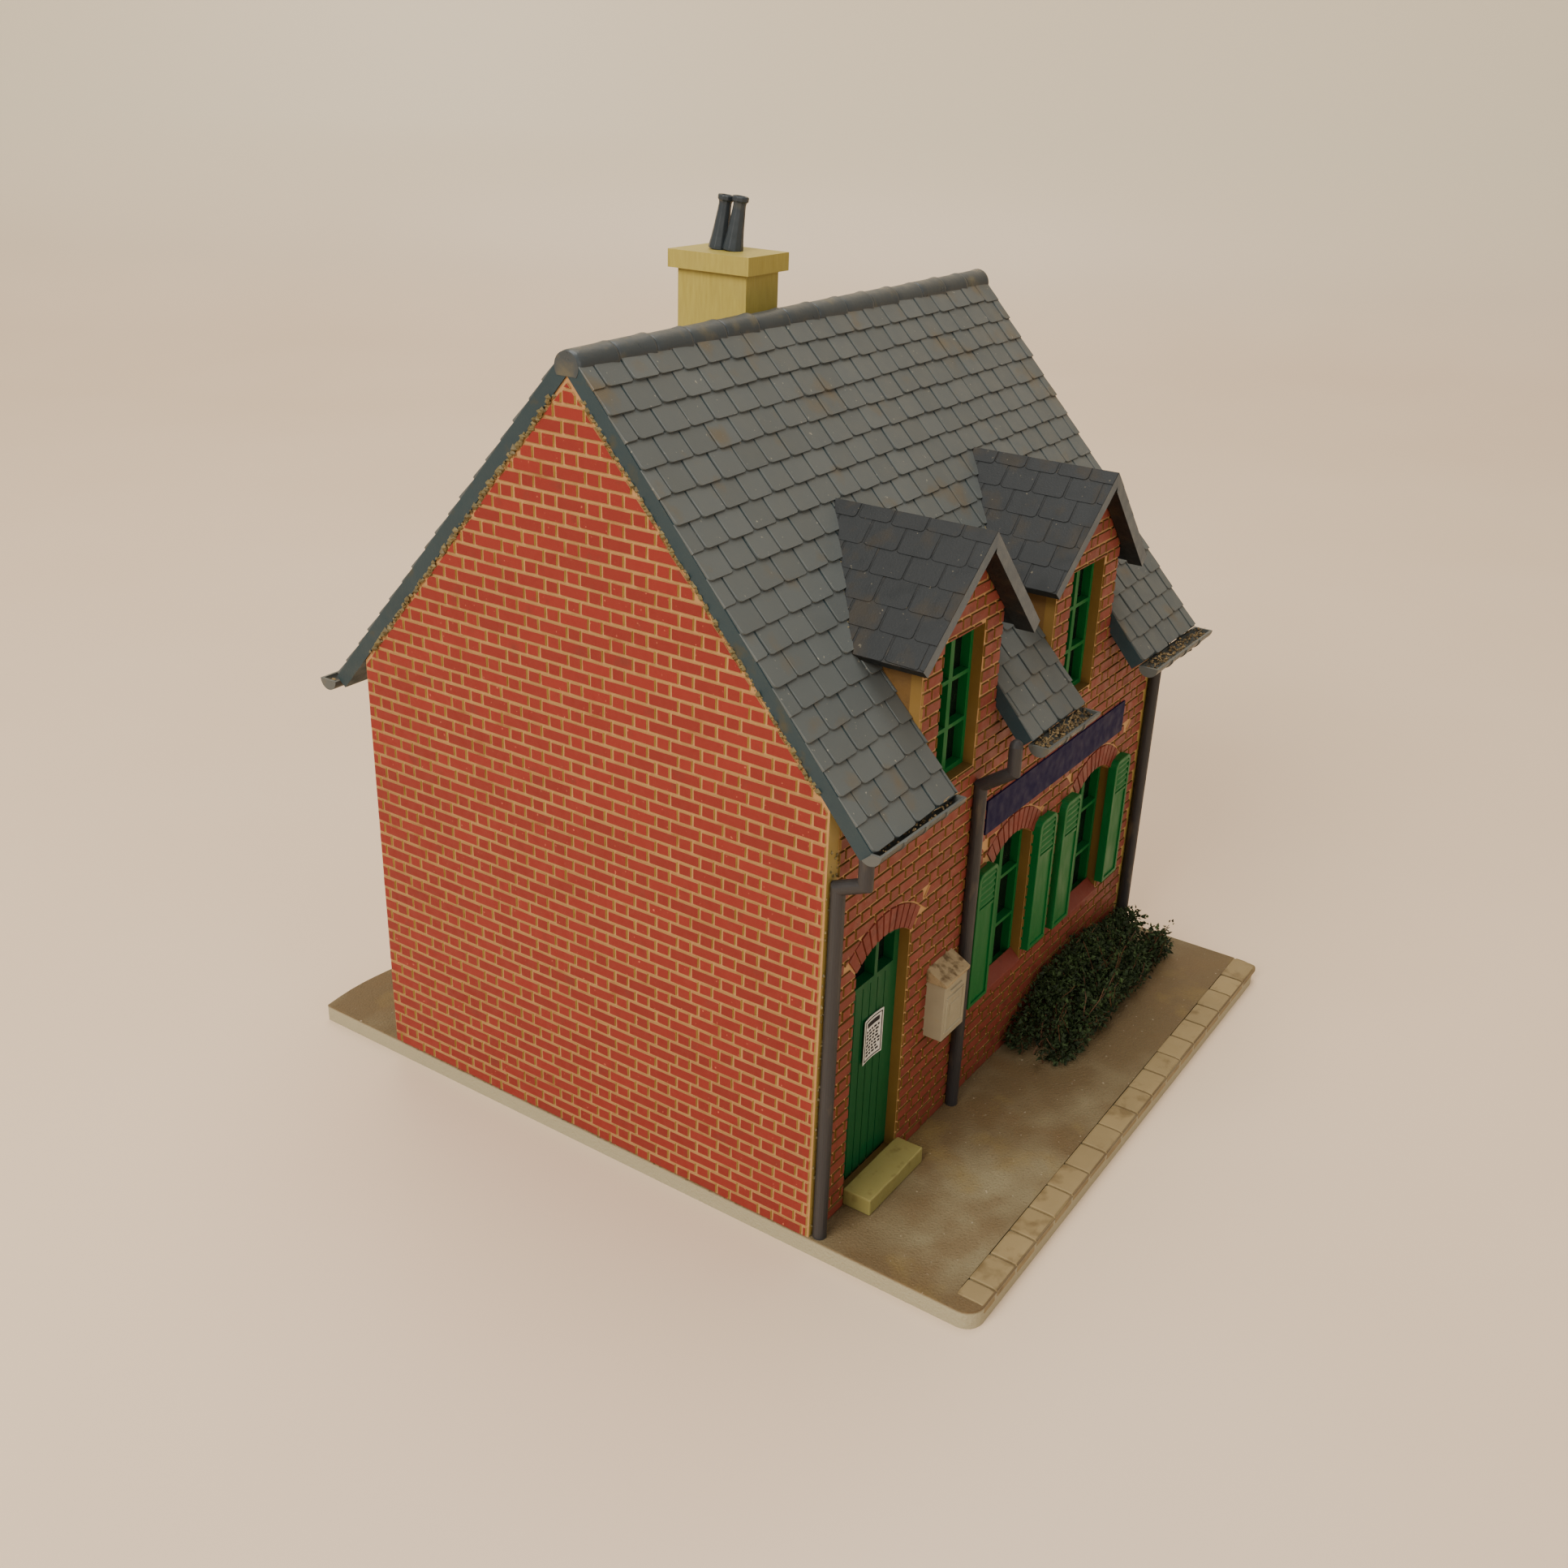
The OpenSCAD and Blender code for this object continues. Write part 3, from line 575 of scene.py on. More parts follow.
def arch_over(lo, hi):
    width = hi.x - lo.x - 2 * FRAME_LAP
    return Arch((lo.x + hi.x) / 2, width, hi.z - FRAME_LAP - ARCH_RISE, ARCH_RISE)


def opening_below(lo, hi):
    """The straight-sided part of an arched opening, as a box with a joint's width round it."""
    lap = FRAME_LAP - 0.05
    return (lo.x + lap, lo.z + FRAME_LAP), (hi.x - lap, hi.z - FRAME_LAP - ARCH_RISE + 0.4)


def wall_bricks(name, openings, heads, dormers, place, seed, shift):
    """Bricks, arches and heads on a long wall; place(u, v, w) puts a point on its outer face."""
    rng = random.Random(seed)
    shape = Shape()
    arches = [arch_over(lo, hi) for lo, hi in openings]
    at_heads = [lambda brick, box=box: cut_for_box(brick, box) for box in heads]
    cuts = [] if dormers else [lambda brick: clip(brick, (0, EAVE_H), (0, 1))]
    cuts += [lambda brick, box=opening_below(*box): cut_for_box(brick, box) for box in openings]
    cuts += [arch.cut for arch in arches] + at_heads
    lay(shape, bond(GABLE_T + 0.12, HOUSE_L - GABLE_T - 0.12, EAVE_H, shift, JOINT_STREET), cuts, place, rng)
    for arch in arches:
        arch.build(shape, place, rng)
    half = DORMER_W / 2 - 0.1
    for x in dormers:
        above = [b for b in bond(x - half, x + half, DORMER_APEX, shift, JOINT_STREET) if b[0][1] >= EAVE_H]
        cuts = under_gable(x, DORMER_APEX - 0.3, tan(DORMER_PITCH)) + at_heads
        lay(shape, above, cuts, place, rng)
    shape.piece(name, [m_brick_front, m_mortar_front, m_arch], "brick_front")


dormer_heads = [((lo.x + FRAME_LAP - 0.05, lo.z + FRAME_LAP - 0.1),
                 (hi.x - FRAME_LAP + 0.05, hi.z - FRAME_LAP + 0.1)) for lo, hi in dormer_boxes]
wall_bricks("bricks_front", [(door_lo, door_hi)] + window_boxes, dormer_heads, dormer_xs,
            lambda u, v, w: (u, FRONT - w, v), 13, 1.2)
wall_bricks("bricks_back", back_boxes, [], [], lambda u, v, w: (u, -FRONT + w, v), 14, 2.0)


def sills():
    """Smooth red sills that fall towards the street under the ground floor windows."""
    shape = Shape()
    lap = FRAME_LAP + 0.03
    for lo, hi in window_boxes:
        z, inner = lo.z + FRAME_LAP, lo.y - 0.12
        shape.beam([(FRONT - 0.3, z - 0.5), (FRONT - 0.3, z + 0.1), (inner, z + 1.35), (inner, z + 1.15),
                    (FRONT + 0.2, z - 0.5)], lo.x + lap, hi.x - lap)
    shape.piece("window_sills", [m_arch], "brick_front", bevel=0.06)


sills()


# ---- slates
SLATE_W = 3.87
SLATE_H = 2.847


def slate_outline(a, b, top, bottom, corner, droop):
    """One slate as (along, down) points with a rounded lower left corner and a lifted right one."""
    points = [(a, top), (b, top), (b, bottom - 0.15 - droop), (b - 0.3, bottom - droop)]
    for i in range(5):
        angle = pi / 2 * i / 4
        points.append((a + corner * (1 - sin(angle)), bottom - corner * (1 - cos(angle))))
    return points


def slate_field(shape, a_low, a_high, rows, place, rng, relief, first_joint, cuts):
    """Overlapping slates: place(along, down, up) puts them on a slope; cuts are convex clip lines."""
    for row, bottom in enumerate(rows):
        top = rows[row - 1] - 0.25 if row else bottom - SLATE_H
        offset = first_joint + (SLATE_W / 2 if row % 2 == 0 else 0.0)
        start = offset + floor((a_low - offset) / SLATE_W) * SLATE_W
        count = int((a_high - start) / SLATE_W) + 2
        for i in range(count):
            a = start + i * SLATE_W + rng.uniform(-0.05, 0.05)
            b = a + SLATE_W - 0.16
            low = bottom + rng.uniform(-0.10, 0.12)
            poly = slate_outline(a, b, max(top, 0.0), low, rng.uniform(0.3, 0.55), rng.uniform(0.0, 0.1))
            poly = clip(clip(poly, (a_low, 0), (-1, 0)), (a_high, 0), (1, 0))
            for point, outward in cuts(a + SLATE_W / 2, low - SLATE_H / 2) if cuts else ():
                poly = clip(poly, point, outward) if len(poly) > 2 else poly
            poly = tidy(poly, 0.03)
            if len(poly) < 3 or area(poly) < 0.3:
                continue
            edge = relief * rng.uniform(0.8, 1.2)
            lean = relief * rng.uniform(0.25, 0.6)

            def lift(p):
                down = (p[1] - top) / max(low - top, 0.5)
                across = (p[0] - a) / SLATE_W
                return 0.02 + edge * down + lean * (1 - across) * 0.8

            base = [place(*p, -0.04) for p in poly]
            brink = [place(*p, lift(p) - 0.05) for p in poly]
            mx, my = centroid(poly)
            worn = 0.035
            crown = [place(p[0] + (mx - p[0]) * worn, p[1] + (my - p[1]) * worn, lift(p)) for p in poly]
            shape.loft([base, brink, crown], rng.random())


def on_slope(side):
    """Puts (along, down, up) on a main slope; side is -1 for the street side, +1 for the back."""
    c, s = cos(PITCH), sin(PITCH)

    def place(along, down, up):
        return along, side * (down * c + up * s), TOP_APEX - down * s + up * c
    return place


ROWS = [4.6 + SLATE_H * k for k in range(18)]


def gap_cuts(x, down):
    """Clip lines that keep slates out of the gaps the dormers stand in."""
    half, gap_depth = DORMER_W / 2 + 0.05, 8.0
    if -down * cos(PITCH) >= FRONT + gap_depth:
        return []
    sides = [(middle, 1 if x > middle else -1) for middle in dormer_xs if abs(x - middle) <= half + SLATE_W]
    return [((middle + side * half, 0), (-side, 0)) for middle, side in sides]


def main_slates(name, side, cuts, seed):
    shape = Shape()
    slate_field(shape, -0.18, HOUSE_L + 0.18, ROWS, on_slope(side), random.Random(seed), 0.21, 3.8, cuts)
    shape.piece(name, [m_slate], "slate")


main_slates("slates_front", -1, gap_cuts, 21)
main_slates("slates_back", 1, None, 22)

DORMER_T = 1.1
DORMER_TOP = DORMER_APEX + DORMER_T / cos(DORMER_PITCH)
DORMER_EAVES = {-1: 11.1, 1: 12.0}
DORMER_OVERHANGS = ({-1: 1.6, 0: 2.6, 1: 2.5}, {-1: 1.2, 0: 2.2, 1: 2.1})


def dormer_slates(number, side, middle, seed):
    """Slates on one slope of a dormer, cut along the valley where it meets the main roof."""
    c, s = cos(DORMER_PITCH), sin(DORMER_PITCH)
    length = DORMER_EAVES[side] / c
    overhang = DORMER_OVERHANGS[number - 1]
    tip, foot = FRONT - overhang[0], FRONT - overhang[side]
    shape = Shape()

    def place(along, down, up):
        return middle + side * (down * c + up * s), along, DORMER_TOP - down * s + up * c

    start_y = -(TOP_APEX - DORMER_TOP) / tan(PITCH)
    lines = [((start_y, 0.0), (tan(PITCH), s)), ((0, length), (0, 1)), ((tip, 0), (-length, foot - tip))]
    rows = [length - SLATE_H * k for k in range(6)][::-1]
    slate_field(shape, tip, start_y + 1, rows, place, random.Random(seed), 0.06, 1.0 + side,
                lambda along, down: lines)
    name = "left" if side < 0 else "right"
    shape.piece(f"slates_dormer_{number}_{name}", [m_dormer], "dormer_slate")


for number, middle in enumerate(dormer_xs, 1):
    for side in (-1, 1):
        dormer_slates(number, side, middle, 30 + number * 2 + side)


# ---- ridge
def ridge():
    """Half-round ridge tiles, each a little wider at its right end, with a groove between two."""
    rng = random.Random(41)
    shape = Shape()
    lo, hi = house_box("ridge_tiles")
    count = 14
    length = (hi.x - lo.x) / count
    sweep = [radians(a) for a in range(-126, 127, 14)]
    zc = APEX_H + 0.75
    proud, groove = 0.07, 1.20
    for i in range(count):
        x = lo.x + i * length
        lift, swing = rng.uniform(-0.06, 0.06), rng.uniform(-0.05, 0.05)
        start = 1.42 if i == 0 else groove
        profile = [(-proud if i == 0 else 0.0, start), (0.16, start), (0.20, 1.46), (0.45, 1.52), (1.6, 1.53),
                   (length - 1.2, 1.56), (length - 0.3, 1.64), (length - 0.08, 1.66), (length - 0.03, 1.60),
                   (length + (proud if i == count - 1 else 0.0), groove)]
        shape.loft([[(x + t, r * sin(a) + swing, zc + lift + r * cos(a)) for a in sweep]
                    for t, r in profile], rng.random(), smooth=True)
    shape.beam([(-1.3, APEX_H), (0.0, APEX_H - 0.05), (1.3, APEX_H), (1.3, zc + 0.3), (-1.3, zc + 0.3)],
               lo.x + 0.04, hi.x - 0.04, 1)
    shape.piece("ridge_roll", [m_ridge, m_roof], "ridge", "ridge_tiles")


ridge()


# ---- downpipes
PIPE_R = 0.74
NECK_Z = 41.0


def pipe(shape, side_x, top, neck, domed):
    """A downpipe with mitred bends: round section, set on the wall, forward and up to the gutter."""
    y = FRONT - PIPE_R - 0.02
    path = [Vector(p) for p in ((y, 0.0), (y, NECK_Z), (y - neck[0], NECK_Z + neck[1]), (y - neck[0], top))]
    rings = []
    sides = 20
    for i, p in enumerate(path):
        before = (p - path[i - 1] if i else path[1] - p).normalized()
        after = (path[i + 1] - p).normalized() if i + 1 < len(path) else before
        along = (before + after).normalized()
        stretch = 1 / max(0.3, along.dot(before))
        ring = []
        for k in range(sides):
            a = 2 * pi * k / sides
            v = PIPE_R * sin(a) * stretch
            ring.append((side_x + PIPE_R * cos(a), p.x + along.y * v, p.y - along.x * v))
        bend = ((before, -0.03), (after, 0.03)) if 0 < i < len(path) - 1 else ((along, 0.0),)
        rings += [[(q[0], q[1] + way.x * t, q[2] + way.y * t) for q in ring] for way, t in bend]
    if domed:
        last, (cy, cz) = rings[-1], path[-1]
        for share, rise in ((0.86, 0.36), (0.5, 0.64), (0.12, 0.73)):
            rings.append([(side_x + (q[0] - side_x) * share, cy + (q[1] - cy) * share, cz + rise)
                          for q in last])
    shape.loft(rings)


for which, top, rise, domed in (("left", 45.0, 1.2, False), ("middle", 46.5, 2.5, True),
                                ("right", 45.0, 2.5, False)):
    node = f"downpipe_{which}"
    lo, hi = house_box(node)
    shape = Shape()
    pipe(shape, (lo.x + hi.x) / 2, top, (FRONT - 2 * PIPE_R - lo.y, rise), domed)
    shape.piece(f"pipe_{which}", [m_pipe], "pipe", node)


# ---- notice, step, mailbox, shutters, pots
def notice():
    """A slightly curled paper with a ruled border, a title bar and rows of plain dashes."""
    lo, hi = house_box("door_notice")
    shape = Shape()

    def sheet(x0, x1, z0, z1, steps, out, mat):
        rings = []
        for i in range(steps + 1):
            x = x0 + (x1 - x0) * i / steps
            y = lo.y - 0.02 - 0.16 * (2 * (x - lo.x) / (hi.x - lo.x) - 1) ** 2 - out
            rings.append([(x, y, z0), (x, y, z1), (x, y + 0.06, z1), (x, y + 0.06, z0)])
        shape.loft(rings, mat=mat)

    def bar(x0, x1, z0, z1):
        sheet(x0, x1, z0, z1, max(2, int((x1 - x0) / 0.4)), 0.05, 1)

    sheet(lo.x, hi.x, lo.z, hi.z, 8, 0.0, 0)
    edge, line = 0.22, 0.09
    left, right, low, high = lo.x + edge, hi.x - edge, lo.z + edge, hi.z - edge
    for side in ((left, right, high - line, high), (left, right, low, low + line),
                 (left, left + line, low, high), (right - line, right, low, high),
                 (lo.x + 0.7, hi.x - 0.7, hi.z - 1.15, hi.z - 0.62)):
        bar(*side)
    rng = random.Random(51)
    for row in range(8):
        z = hi.z - 1.55 - row * 0.42
        x = lo.x + 0.6
        while x < hi.x - 0.8:
            width = rng.uniform(0.18, 0.5)
            bar(x, min(x + width, hi.x - 0.5), z - 0.2, z)
            x += width + 0.24
    shape.piece("notice_sheet", [m_paper, m_ink], "paper", "door_notice")


notice()


def doorstep():
    """A cast block with slightly wandering faces and rounded edges."""
    lo, hi = house_box("doorstep")
    shape = Shape()
    cuts, wobble = 6, 0.08
    rings = []
    for i in range(cuts + 1):
        x = lo.x + (hi.x - lo.x) * i / cuts
        ring = []
        for y, z in ((lo.y, lo.z), (lo.y, hi.z), ((lo.y + hi.y) / 2, hi.z), (hi.y, hi.z), (hi.y, lo.z)):
            shake = noise.noise(Vector((x * 0.5, y * 0.6 + 3.0, z * 0.7))) * wobble
            ring.append((x, y + (shake if y == lo.y else 0), z + (0 if z == lo.z else shake)))
        rings.append(ring)
    shape.loft(rings)
    shape.piece("step_block", [m_step], "step", "doorstep", bevel=0.15)


doorstep()


def mailbox():
    """Wall mailbox: body, a framed front with a slot, and a thick sloping lid with a chipped rim."""
    lo, hi = house_box("mailbox")
    over = 0.25
    y, body_top = lo.y + over, lo.z + 7.0
    shape = Shape()
    shape.beam([(hi.y, lo.z), (hi.y, body_top), (y, body_top), (y, lo.z)], lo.x + over, hi.x - over)

    def panel(x0, x1, z0, z1, out):
        shape.loft([[(x0 + t, v, z0 + t), (x1 - t, v, z0 + t), (x1 - t, v, z1 - t), (x0 + t, v, z1 - t)]
                    for t, v in ((0.0, y + 0.05), (0.06, y - out))])

    x0, x1 = lo.x + over + 0.5, hi.x - over - 0.5
    z0, z1 = lo.z + 0.7, lo.z + 5.3
    bar = 0.28
    for side in ((x0, x1, z0, z0 + bar), (x0, x1, z1 - bar, z1), (x0, x0 + bar, z0 + bar, z1 - bar),
                 (x1 - bar, x1, z0 + bar, z1 - bar)):
        panel(*side, 0.14)
    panel(x0 + 0.7, x1 - 0.7, lo.z + 5.75, lo.z + 6.1, 0.2)
    panel(x0 + 0.9, x1 - 0.9, lo.z + 2.6, lo.z + 4.2, 0.1)
    rings = []
    cuts = 8
    for i in range(cuts + 1):
        x = lo.x + (hi.x - lo.x) * i / cuts
        ring = []
        for py, pz in ((hi.y, body_top), (hi.y, hi.z), ((lo.y + hi.y) / 2, (hi.z + body_top + 0.4) / 2),
                       (lo.y, body_top + 0.4), (lo.y, body_top)):
            shake = noise.noise(Vector((x * 1.3, py * 1.1, pz))) * 0.16
            ring.append((x, py - (shake if py == lo.y else 0), pz + (shake if pz > body_top else 0)))
        rings.append(ring)
    shape.loft(rings, mat=1)
    shape.piece("mailbox_body", [m_mailbox, m_lid], "mailbox", "mailbox", bevel=0.05)


mailbox()


def shutter(number):
    """Shutter with rounded top corners, a raised border, a flush lower panel and five louvres."""
    node = f"shutter_{number}"
    lo, hi = house_box(node)
    back, face = hi.y, lo.y
    shape = Shape()
    border, deep, corner = 0.5, 0.42, 1.0
    louvre_low = hi.z - 4.6

    def outline(a, b, low, high, radius):
        points = [(a, low), (b, low)]
        for end, way, steps in ((b, -1, range(5)), (a, 1, range(4, -1, -1))):
            for k in steps:
                angle = pi / 2 * k / 4
                points.append((end + way * radius * (1 - cos(angle)),
                               high - radius * (1 - sin(angle))))
        return points

    outer = outline(lo.x, hi.x, lo.z, hi.z, corner)
    inner = outline(lo.x + border, hi.x - border, lo.z + border, hi.z - border, corner * 0.5)
    eased = [(x + 0.06 * (1 if x < (lo.x + hi.x) / 2 else -1), z + (0.06 if z < lo.z + 1 else -0.06))
             for x, z in outer]
    shape.loft([[(x, y, z) for x, z in points] for points, y in (
        (outer, back), (outer, face + 0.06), (eased, face), (inner, face), (inner, face + deep * 0.45))])
    root = face + deep * 0.5
    for i in range(5):
        z = louvre_low + 0.2 + i * 0.8
        shape.beam([(root, z), (face + 0.02, z + 0.12), (face + 0.02, z + 0.26), (root, z + 0.62)],
                   lo.x + border + 0.12, hi.x - border - 0.12)
    z = louvre_low - 0.15
    shape.beam([(root, z - 0.3), (face + 0.05, z - 0.25), (face + 0.05, z + 0.1), (root, z + 0.15)],
               lo.x + border - 0.05, hi.x - border + 0.05)
    shape.piece(f"shutter_leaf_{number}", [m_green], "joinery", node)


for number in (1, 2, 3, 4):
    shutter(number)


def pots():
    """Two tapered pots with flared, hollow rims standing close together, leaning a little."""
    lo, hi = house_box("chimney_pots")
    cap_lo, cap_hi = house_box("chimney_half_left")[0], house_box("chimney_half_right")[1]
    shape = Shape()
    cx, cy = (cap_lo.x + cap_hi.x) / 2, (cap_lo.y + cap_hi.y) / 2
    spacing, height = 1.9, 5.6
    profile = [(1.15, 0.0), (1.13, 0.3), (0.98, 1.3), (0.85, 2.6), (0.74, 4.0), (0.70, 4.7), (0.74, 4.95),
               (0.90, 5.1), (0.92, 5.45), (0.84, height), (0.56, height - 0.03), (0.50, 5.2), (0.48, 4.0)]
    for side in (-1, 1):
        turn = Matrix.Rotation(radians(7), 4, "X") @ Matrix.Rotation(radians(4), 4, "Y")
        rings = []
        for radius, z in profile:
            ring = []
            for k in range(10):
                a = 2 * pi * (k + 0.3) / 10
                p = turn @ Vector((radius * cos(a), radius * sin(a), z))
                ring.append((cx + p.x, cy + side * spacing / 2 + p.y, lo.z + 0.1 + p.z))
            rings.append(ring)
        shape.loft(rings)
    shape.piece("pots", [m_pots], "pots", "chimney_pots", bevel=0.05)


pots()


# ---- kerb
def kerb():
    """Low worn kerb stones that round over the street edge of the plate."""
    rng = random.Random(61)
    lo, hi = house_box("base_plate")
    shape = Shape()
    pitch, width = 4.48, 3.0
    count = int((hi.x - lo.x) / pitch)
    for i in range(count):
        a = lo.x + i * pitch + (1.9 if i == 0 else 0.16)
        b = lo.x + (i + 1) * pitch - 0.14 if i < count - 1 else hi.x - 0.3
        front, back = lo.y - 0.04, lo.y + width + 0.12 + rng.uniform(-0.06, 0.06)
        lift, droop = rng.uniform(0.10, 0.16), rng.uniform(0.7, 1.0)
        worn = rng.uniform(0.35, 0.55)
        profile = [(back, -0.06), (back - 0.1, lift * 0.7), (back - 0.3, lift), (front + worn + 0.3, lift),
                   (front + worn * 0.5, lift - 0.1), (front + 0.05, lift - 0.34), (front, -droop),
                   (front + 0.3, -droop)]
        my, mz = back - 1.4, -0.1
        rings = []
        for x, share in ((a, 0.10), (a + 0.12, 0.0), ((a + b) / 2, -0.004), (b - 0.12, 0.0), (b, 0.10)):
            rings.append([(x, y + (my - y) * share * 0.5, z + (mz - z) * share * 3) for y, z in profile])
        shape.loft(rings, rng.random())
    shape.piece("kerb_stones", [m_kerb], "ground")


kerb()


# ---- loose matter: debris, glue, hedge
def pebble(shape, centre, size, rng, flat=1.0):
    """One small irregular lump with eight faces."""
    points = []
    for dx, dy, dz in ((1, 0, 0), (0, 1, 0), (-1, 0, 0), (0, -1, 0), (0, 0, 1), (0, 0, -1)):
        k = size * rng.uniform(0.6, 1.3)
        points.append((centre[0] + dx * k, centre[1] + dy * k, centre[2] + dz * k * flat))
    faces = [[0, 1, 4], [1, 2, 4], [2, 3, 4], [3, 0, 4], [1, 0, 5], [2, 1, 5], [3, 2, 5], [0, 3, 5]]
    shape.add(points, faces, rng.random())


def leaf(shape, p, direction, rng):
    """A small bent leaf with some thickness, darker low down as painted shade and lighter higher up as
    painted light.
    """
    size = rng.uniform(0.22, 0.55)
    side = direction.cross(Vector([rng.gauss(0, 1) for _ in range(3)])).normalized() * size * 0.55
    tip = (direction + Vector([rng.gauss(0, 0.6) for _ in range(3)])).normalized() * size
    up = side.cross(tip).normalized() * size * 0.22
    points = [p - tip * 0.6, p + side + up, p + tip, p - side + up, p - up * 0.8]
    points = [(q.x, q.y, max(q.z, 0.02)) for q in points]
    # Painted light and shade: the tone rises with height, so high leaves look lit and low ones shaded.
    lit = min(1.0, rng.random() ** 1.4 * (0.35 + 0.13 * p.z))
    shape.add(points, [[0, 1, 4], [1, 2, 4], [2, 3, 4], [3, 0, 4], [1, 0, 3], [2, 1, 3]], lit)


def twig(shape, points, radius, rng, mat=1):
    """A thin three-sided stem through a few points."""
    rings = []
    for i, p in enumerate(points):
        r = radius * (1 - 0.7 * i / len(points))
        rings.append([(p.x + r * cos(a), p.y + r * sin(a), max(p.z, 0.0)) for a in (0.3, 2.4, 4.5)])
    shape.loft(rings, rng.random(), mat)


def gutter_litter():
    """Moss and grit lying in the gutters and along the eaves."""
    rng = random.Random(71)
    shape = Shape()
    for node, side, much in (("gutter_left", -1, 7), ("gutter_middle", -1, 22), ("gutter_right", -1, 14),
                             ("gutter_back", 1, 5)):
        lo, hi = house_box(node)
        y_mid = lo.y + 1.3 if side < 0 else hi.y - 1.3
        for _ in range(int((hi.x - lo.x) * much)):
            x = rng.uniform(lo.x + 0.4, hi.x - 0.4)
            thick = 0.5 + 0.5 * noise.noise(Vector((x * 0.5, side * 9.0, 1.0)))
            if rng.random() > thick + 0.25:
                continue
            y = y_mid - side * rng.gauss(0.15, 0.5)
            z = hi.z - 0.55 + thick * 0.5 + rng.uniform(-0.3, 0.12) + max(0, (y - y_mid) * -side) * 0.5
            pebble(shape, (x, y, z), rng.uniform(0.08, 0.24), rng)
        for _ in range(int(much * 0.8)):
            root = Vector((rng.uniform(lo.x + 1, hi.x - 1), y_mid - side * 0.3, hi.z - 0.25))
            way = Vector((rng.uniform(-1, 1), rng.uniform(-0.5, 0.5), rng.uniform(0.0, 0.45))).normalized()
            twig(shape, [root, root + way * 0.8, root + way * 1.5], 0.08, rng, 0)
    shape.piece("gutter_litter", [m_debris], "gutter")


gutter_litter()


def lumpy_strip(shape, points, width, height, rng, step=0.35):
    """A bead of old glue along a line of points, made of small flattened lumps."""
    for a, b in zip(points, points[1:]):
        span = Vector(b) - Vector(a)
        count = max(1, int(span.length / step))
        for i in range(count):
            p = Vector(a) + span * (i + rng.random()) / count
            size = width * rng.uniform(0.4, 1.1)
            p += Vector([rng.uniform(-1, 1) * width * 0.4 for _ in range(3)])
            pebble(shape, p, size, rng, height / width)


def glue_beads():
    """Old glue and grime along the joints of the dormers, the verge, the corner and the plate."""
    rng = random.Random(81)
    shape = Shape()
    tan_main = tan(PITCH)
    valley_y = -(TOP_APEX - DORMER_TOP) / tan_main
    for middle in dormer_xs:
        for side in (-1, 1):
            eave_z = DORMER_TOP - DORMER_EAVES[side] * tan(DORMER_PITCH)
            eave_y = -(TOP_APEX - eave_z) / tan_main
            lumpy_strip(shape, [(middle, valley_y + 0.3, DORMER_TOP + 0.1),
                                (middle + side * DORMER_EAVES[side], eave_y, eave_z + 0.1)], 0.22, 0.12, rng)
    roof_run = 34.0
    depths = [(k / 20) * roof_run for k in range(1, 18)]
    for side, size in ((-1, 0.34), (1, 0.42)):
        verge = [(-0.2, side * y, TOP_APEX - y * tan_main - ROOF_T / cos(PITCH) - 0.1) for y in depths]
        lumpy_strip(shape, verge, size, size, rng, 0.26)
    lumpy_strip(shape, [(1.75, FRONT - 0.05, 1.0), (1.75, FRONT - 0.05, 44.0)], 0.14, 0.14, rng, 0.3)
    lumpy_strip(shape, [(-0.05, FRONT + 1, 0.0), (-0.05, -FRONT - 1, 0.0)], 0.2, 0.12, rng, 0.4)
    for _ in range(90):
        z = rng.uniform(0.5, EAVE_H - 4)
        pebble(shape, (rng.uniform(0.1, GABLE_T - 0.1), FRONT - 0.03, z), rng.uniform(0.06, 0.2), rng, 1.4)
    shape.piece("glue_beads", [m_glue], "step")


glue_beads()

hedge_lo, hedge_hi = house_box("hedge")
# along the hedge as a share of its length, and how high the foliage stands there in mm
HEDGE_TOPS = [(hedge_lo.x + (hedge_hi.x - hedge_lo.x) * share, top)
              for share, top in ((0.09, 2.2), (0.26, 6.9), (0.52, 8.1), (0.75, 6.6), (1.0, 4.8))]


def hedge_top(x):
    """Height of the foliage at x, straight between the heights above."""
    for (x0, z0), (x1, z1) in zip(HEDGE_TOPS, HEDGE_TOPS[1:]):
        if x <= x1:
            return z0 + (z1 - z0) * max(0.0, (x - x0) / (x1 - x0))
    return HEDGE_TOPS[-1][1]


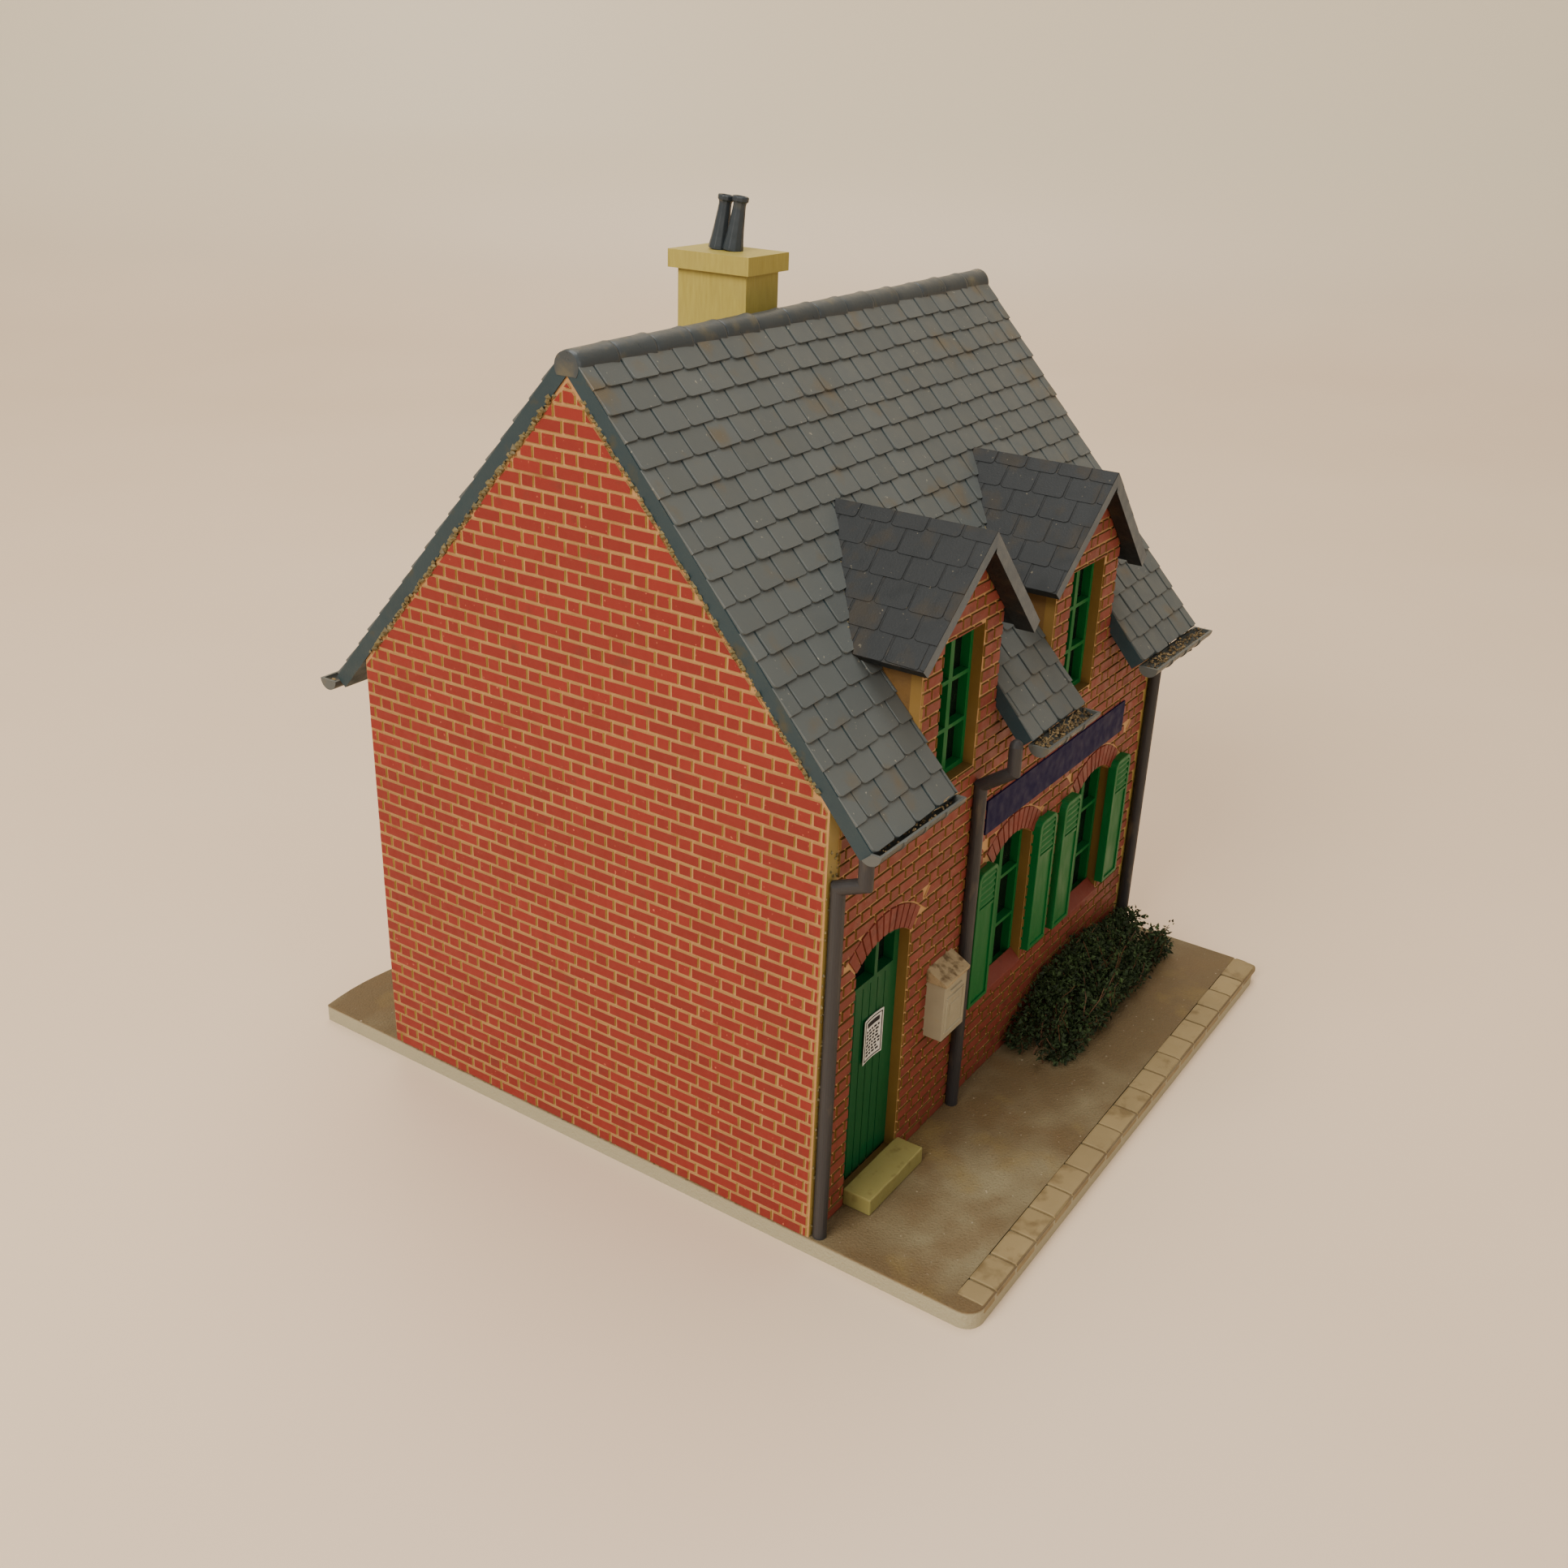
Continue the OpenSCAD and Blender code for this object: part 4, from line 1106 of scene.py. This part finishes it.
def hedge():
    """Scatter foliage: wiry brown twigs with thousands of small leaves in clumps."""
    rng = random.Random(91)
    lo, hi = hedge_lo, hedge_hi
    shape = Shape()
    clumps = 20
    first, last = HEDGE_TOPS[0][0] + 1.6, HEDGE_TOPS[-1][0]
    for i in range(clumps):
        x = first + (last - first) * i / (clumps - 1)
        top = hedge_top(x)
        radius = rng.uniform(2.3, 3.0) * (0.6 + top / 20)
        for depth in (0.25, 0.75):
            y = lo.y + (hi.y - lo.y) * depth + rng.uniform(-0.5, 0.5)
            height = max(radius * 0.5, (top if depth > 0.5 else top * 0.66) - radius * 0.9)
            centre = Vector((x + rng.uniform(-0.8, 0.8), y, height))
            for _ in range(int(88 * radius)):
                direction = Vector([rng.gauss(0, 1) for _ in range(3)]).normalized()
                reach = radius * rng.uniform(0.2, 1.0) ** 0.5
                p = centre + direction * (reach * (1 + 0.25 * noise.noise(direction * 2 + centre)))
                p.z = abs(p.z) + 0.1
                p.y = max(min(p.y, hi.y - 0.15), lo.y - 0.8)
                leaf(shape, p, direction, rng)
    for _ in range(70):
        root = Vector((rng.uniform(lo.x + 1.5, hi.x), rng.uniform(lo.y + 1, hi.y - 1), 0.1))
        way = Vector((rng.uniform(-0.5, 0.7), rng.uniform(-0.7, 0.2), rng.uniform(0.7, 1.5))).normalized()
        points = [root]
        for _ in range(6):
            way = (way + Vector([rng.uniform(-0.35, 0.35) for _ in range(3)])).normalized()
            points.append(points[-1] + way * hedge_top(root.x) * rng.uniform(0.12, 0.24))
        points = [Vector((p.x, max(lo.y - 0.6, min(p.y, hi.y)), p.z)) for p in points]
        twig(shape, points, 0.13, rng)
        for p in points[3:]:
            for _ in range(4):
                leaf(shape, p + Vector([rng.uniform(-0.6, 0.6) for _ in range(3)]), way, rng)
    shape.piece("hedge_foliage", [m_leaf, m_twig], "foliage", "hedge")


hedge()


# ---- stage, camera and light
def stage_floor():
    """Pale table that sweeps up into a plain backdrop."""
    profile = [(-1.2, 0.0), (0.35, 0.0), (0.42, 0.006), (0.47, 0.03), (0.5, 0.08), (0.51, 0.2), (0.52, 1.4)]
    away = Vector((0.7577, 0.4959, 0)).normalized()
    across = Vector((-away.y, away.x, 0))
    verts, faces = [], []
    for d, z in profile:
        for s in (-2.0, 2.0):
            verts.append(away * d + across * s + Vector((0, 0, z)))
    for i in range(len(profile) - 1):
        faces.append([2 * i, 2 * i + 1, 2 * i + 3, 2 * i + 2])
    mesh = bpy.data.meshes.new("table")
    mesh.from_pydata(verts, [], faces)
    mesh.polygons.foreach_set("use_smooth", [True] * len(faces))
    obj = new_object("table", mesh)
    paint = Paint("table_top", 0.35, 0.3)
    soft = paint.noise(60.0, 2.0)
    wall = paint.height("Z", 0.01, 0.08)
    table = paint.mix(soft, srgb(226, 200, 170), srgb(232, 208, 180))
    mesh.materials.append(paint.done(paint.mix(wall, table, srgb(234, 220, 192))))


stage_floor()


def add_camera():
    azimuth, elevation, roll = radians(-56.79), radians(25.10), radians(2.12)
    back = Vector((sin(azimuth) * cos(elevation), -cos(azimuth) * cos(elevation),
                   sin(elevation)))
    right = Vector((0, 0, 1)).cross(back).normalized()
    up = back.cross(right)
    turned_right = right * cos(roll) + up * sin(roll)
    turned_up = up * cos(roll) - right * sin(roll)
    data = bpy.data.cameras.new("camera")
    data.lens = 36.53
    data.sensor_width = 36.0
    data.clip_start = 0.005
    cam = new_object("camera", data)
    matrix = Matrix((turned_right, turned_up, back)).transposed().to_4x4()
    matrix.translation = Vector((-150.98, -93.75, 114.13)) * MM
    cam.matrix_world = matrix
    bpy.context.scene.camera = cam


add_camera()


def area_light(name, place, target, size, watts, colour):
    data = bpy.data.lights.new(name, "AREA")
    data.shape = "DISK"
    data.size = size
    data.energy = watts
    data.color = colour
    light = new_object(name, data)
    light.location = place
    light.rotation_mode = "QUATERNION"
    light.rotation_quaternion = (Vector(target) - Vector(place)).to_track_quat("-Z", "Y")


area_light("key", (-0.58, 0.05, 0.46), (0, 0, 0.03), 0.45, 5.4, (1.0, 0.96, 0.9))
area_light("front_fill", (-0.15, -0.75, 0.35), (0, 0, 0.03), 0.6, 1.1, (1.0, 0.96, 0.92))
area_light("top", (0.15, 0.1, 0.9), (0, 0, 0), 0.7, 5.0, (1.0, 0.98, 0.95))

world = bpy.data.worlds.new("studio")
bpy.context.scene.world = world
world.use_nodes = True
put(world.node_tree.nodes["Background"], {"Color": (1.0, 0.95, 0.88, 1.0), "Strength": 0.42})
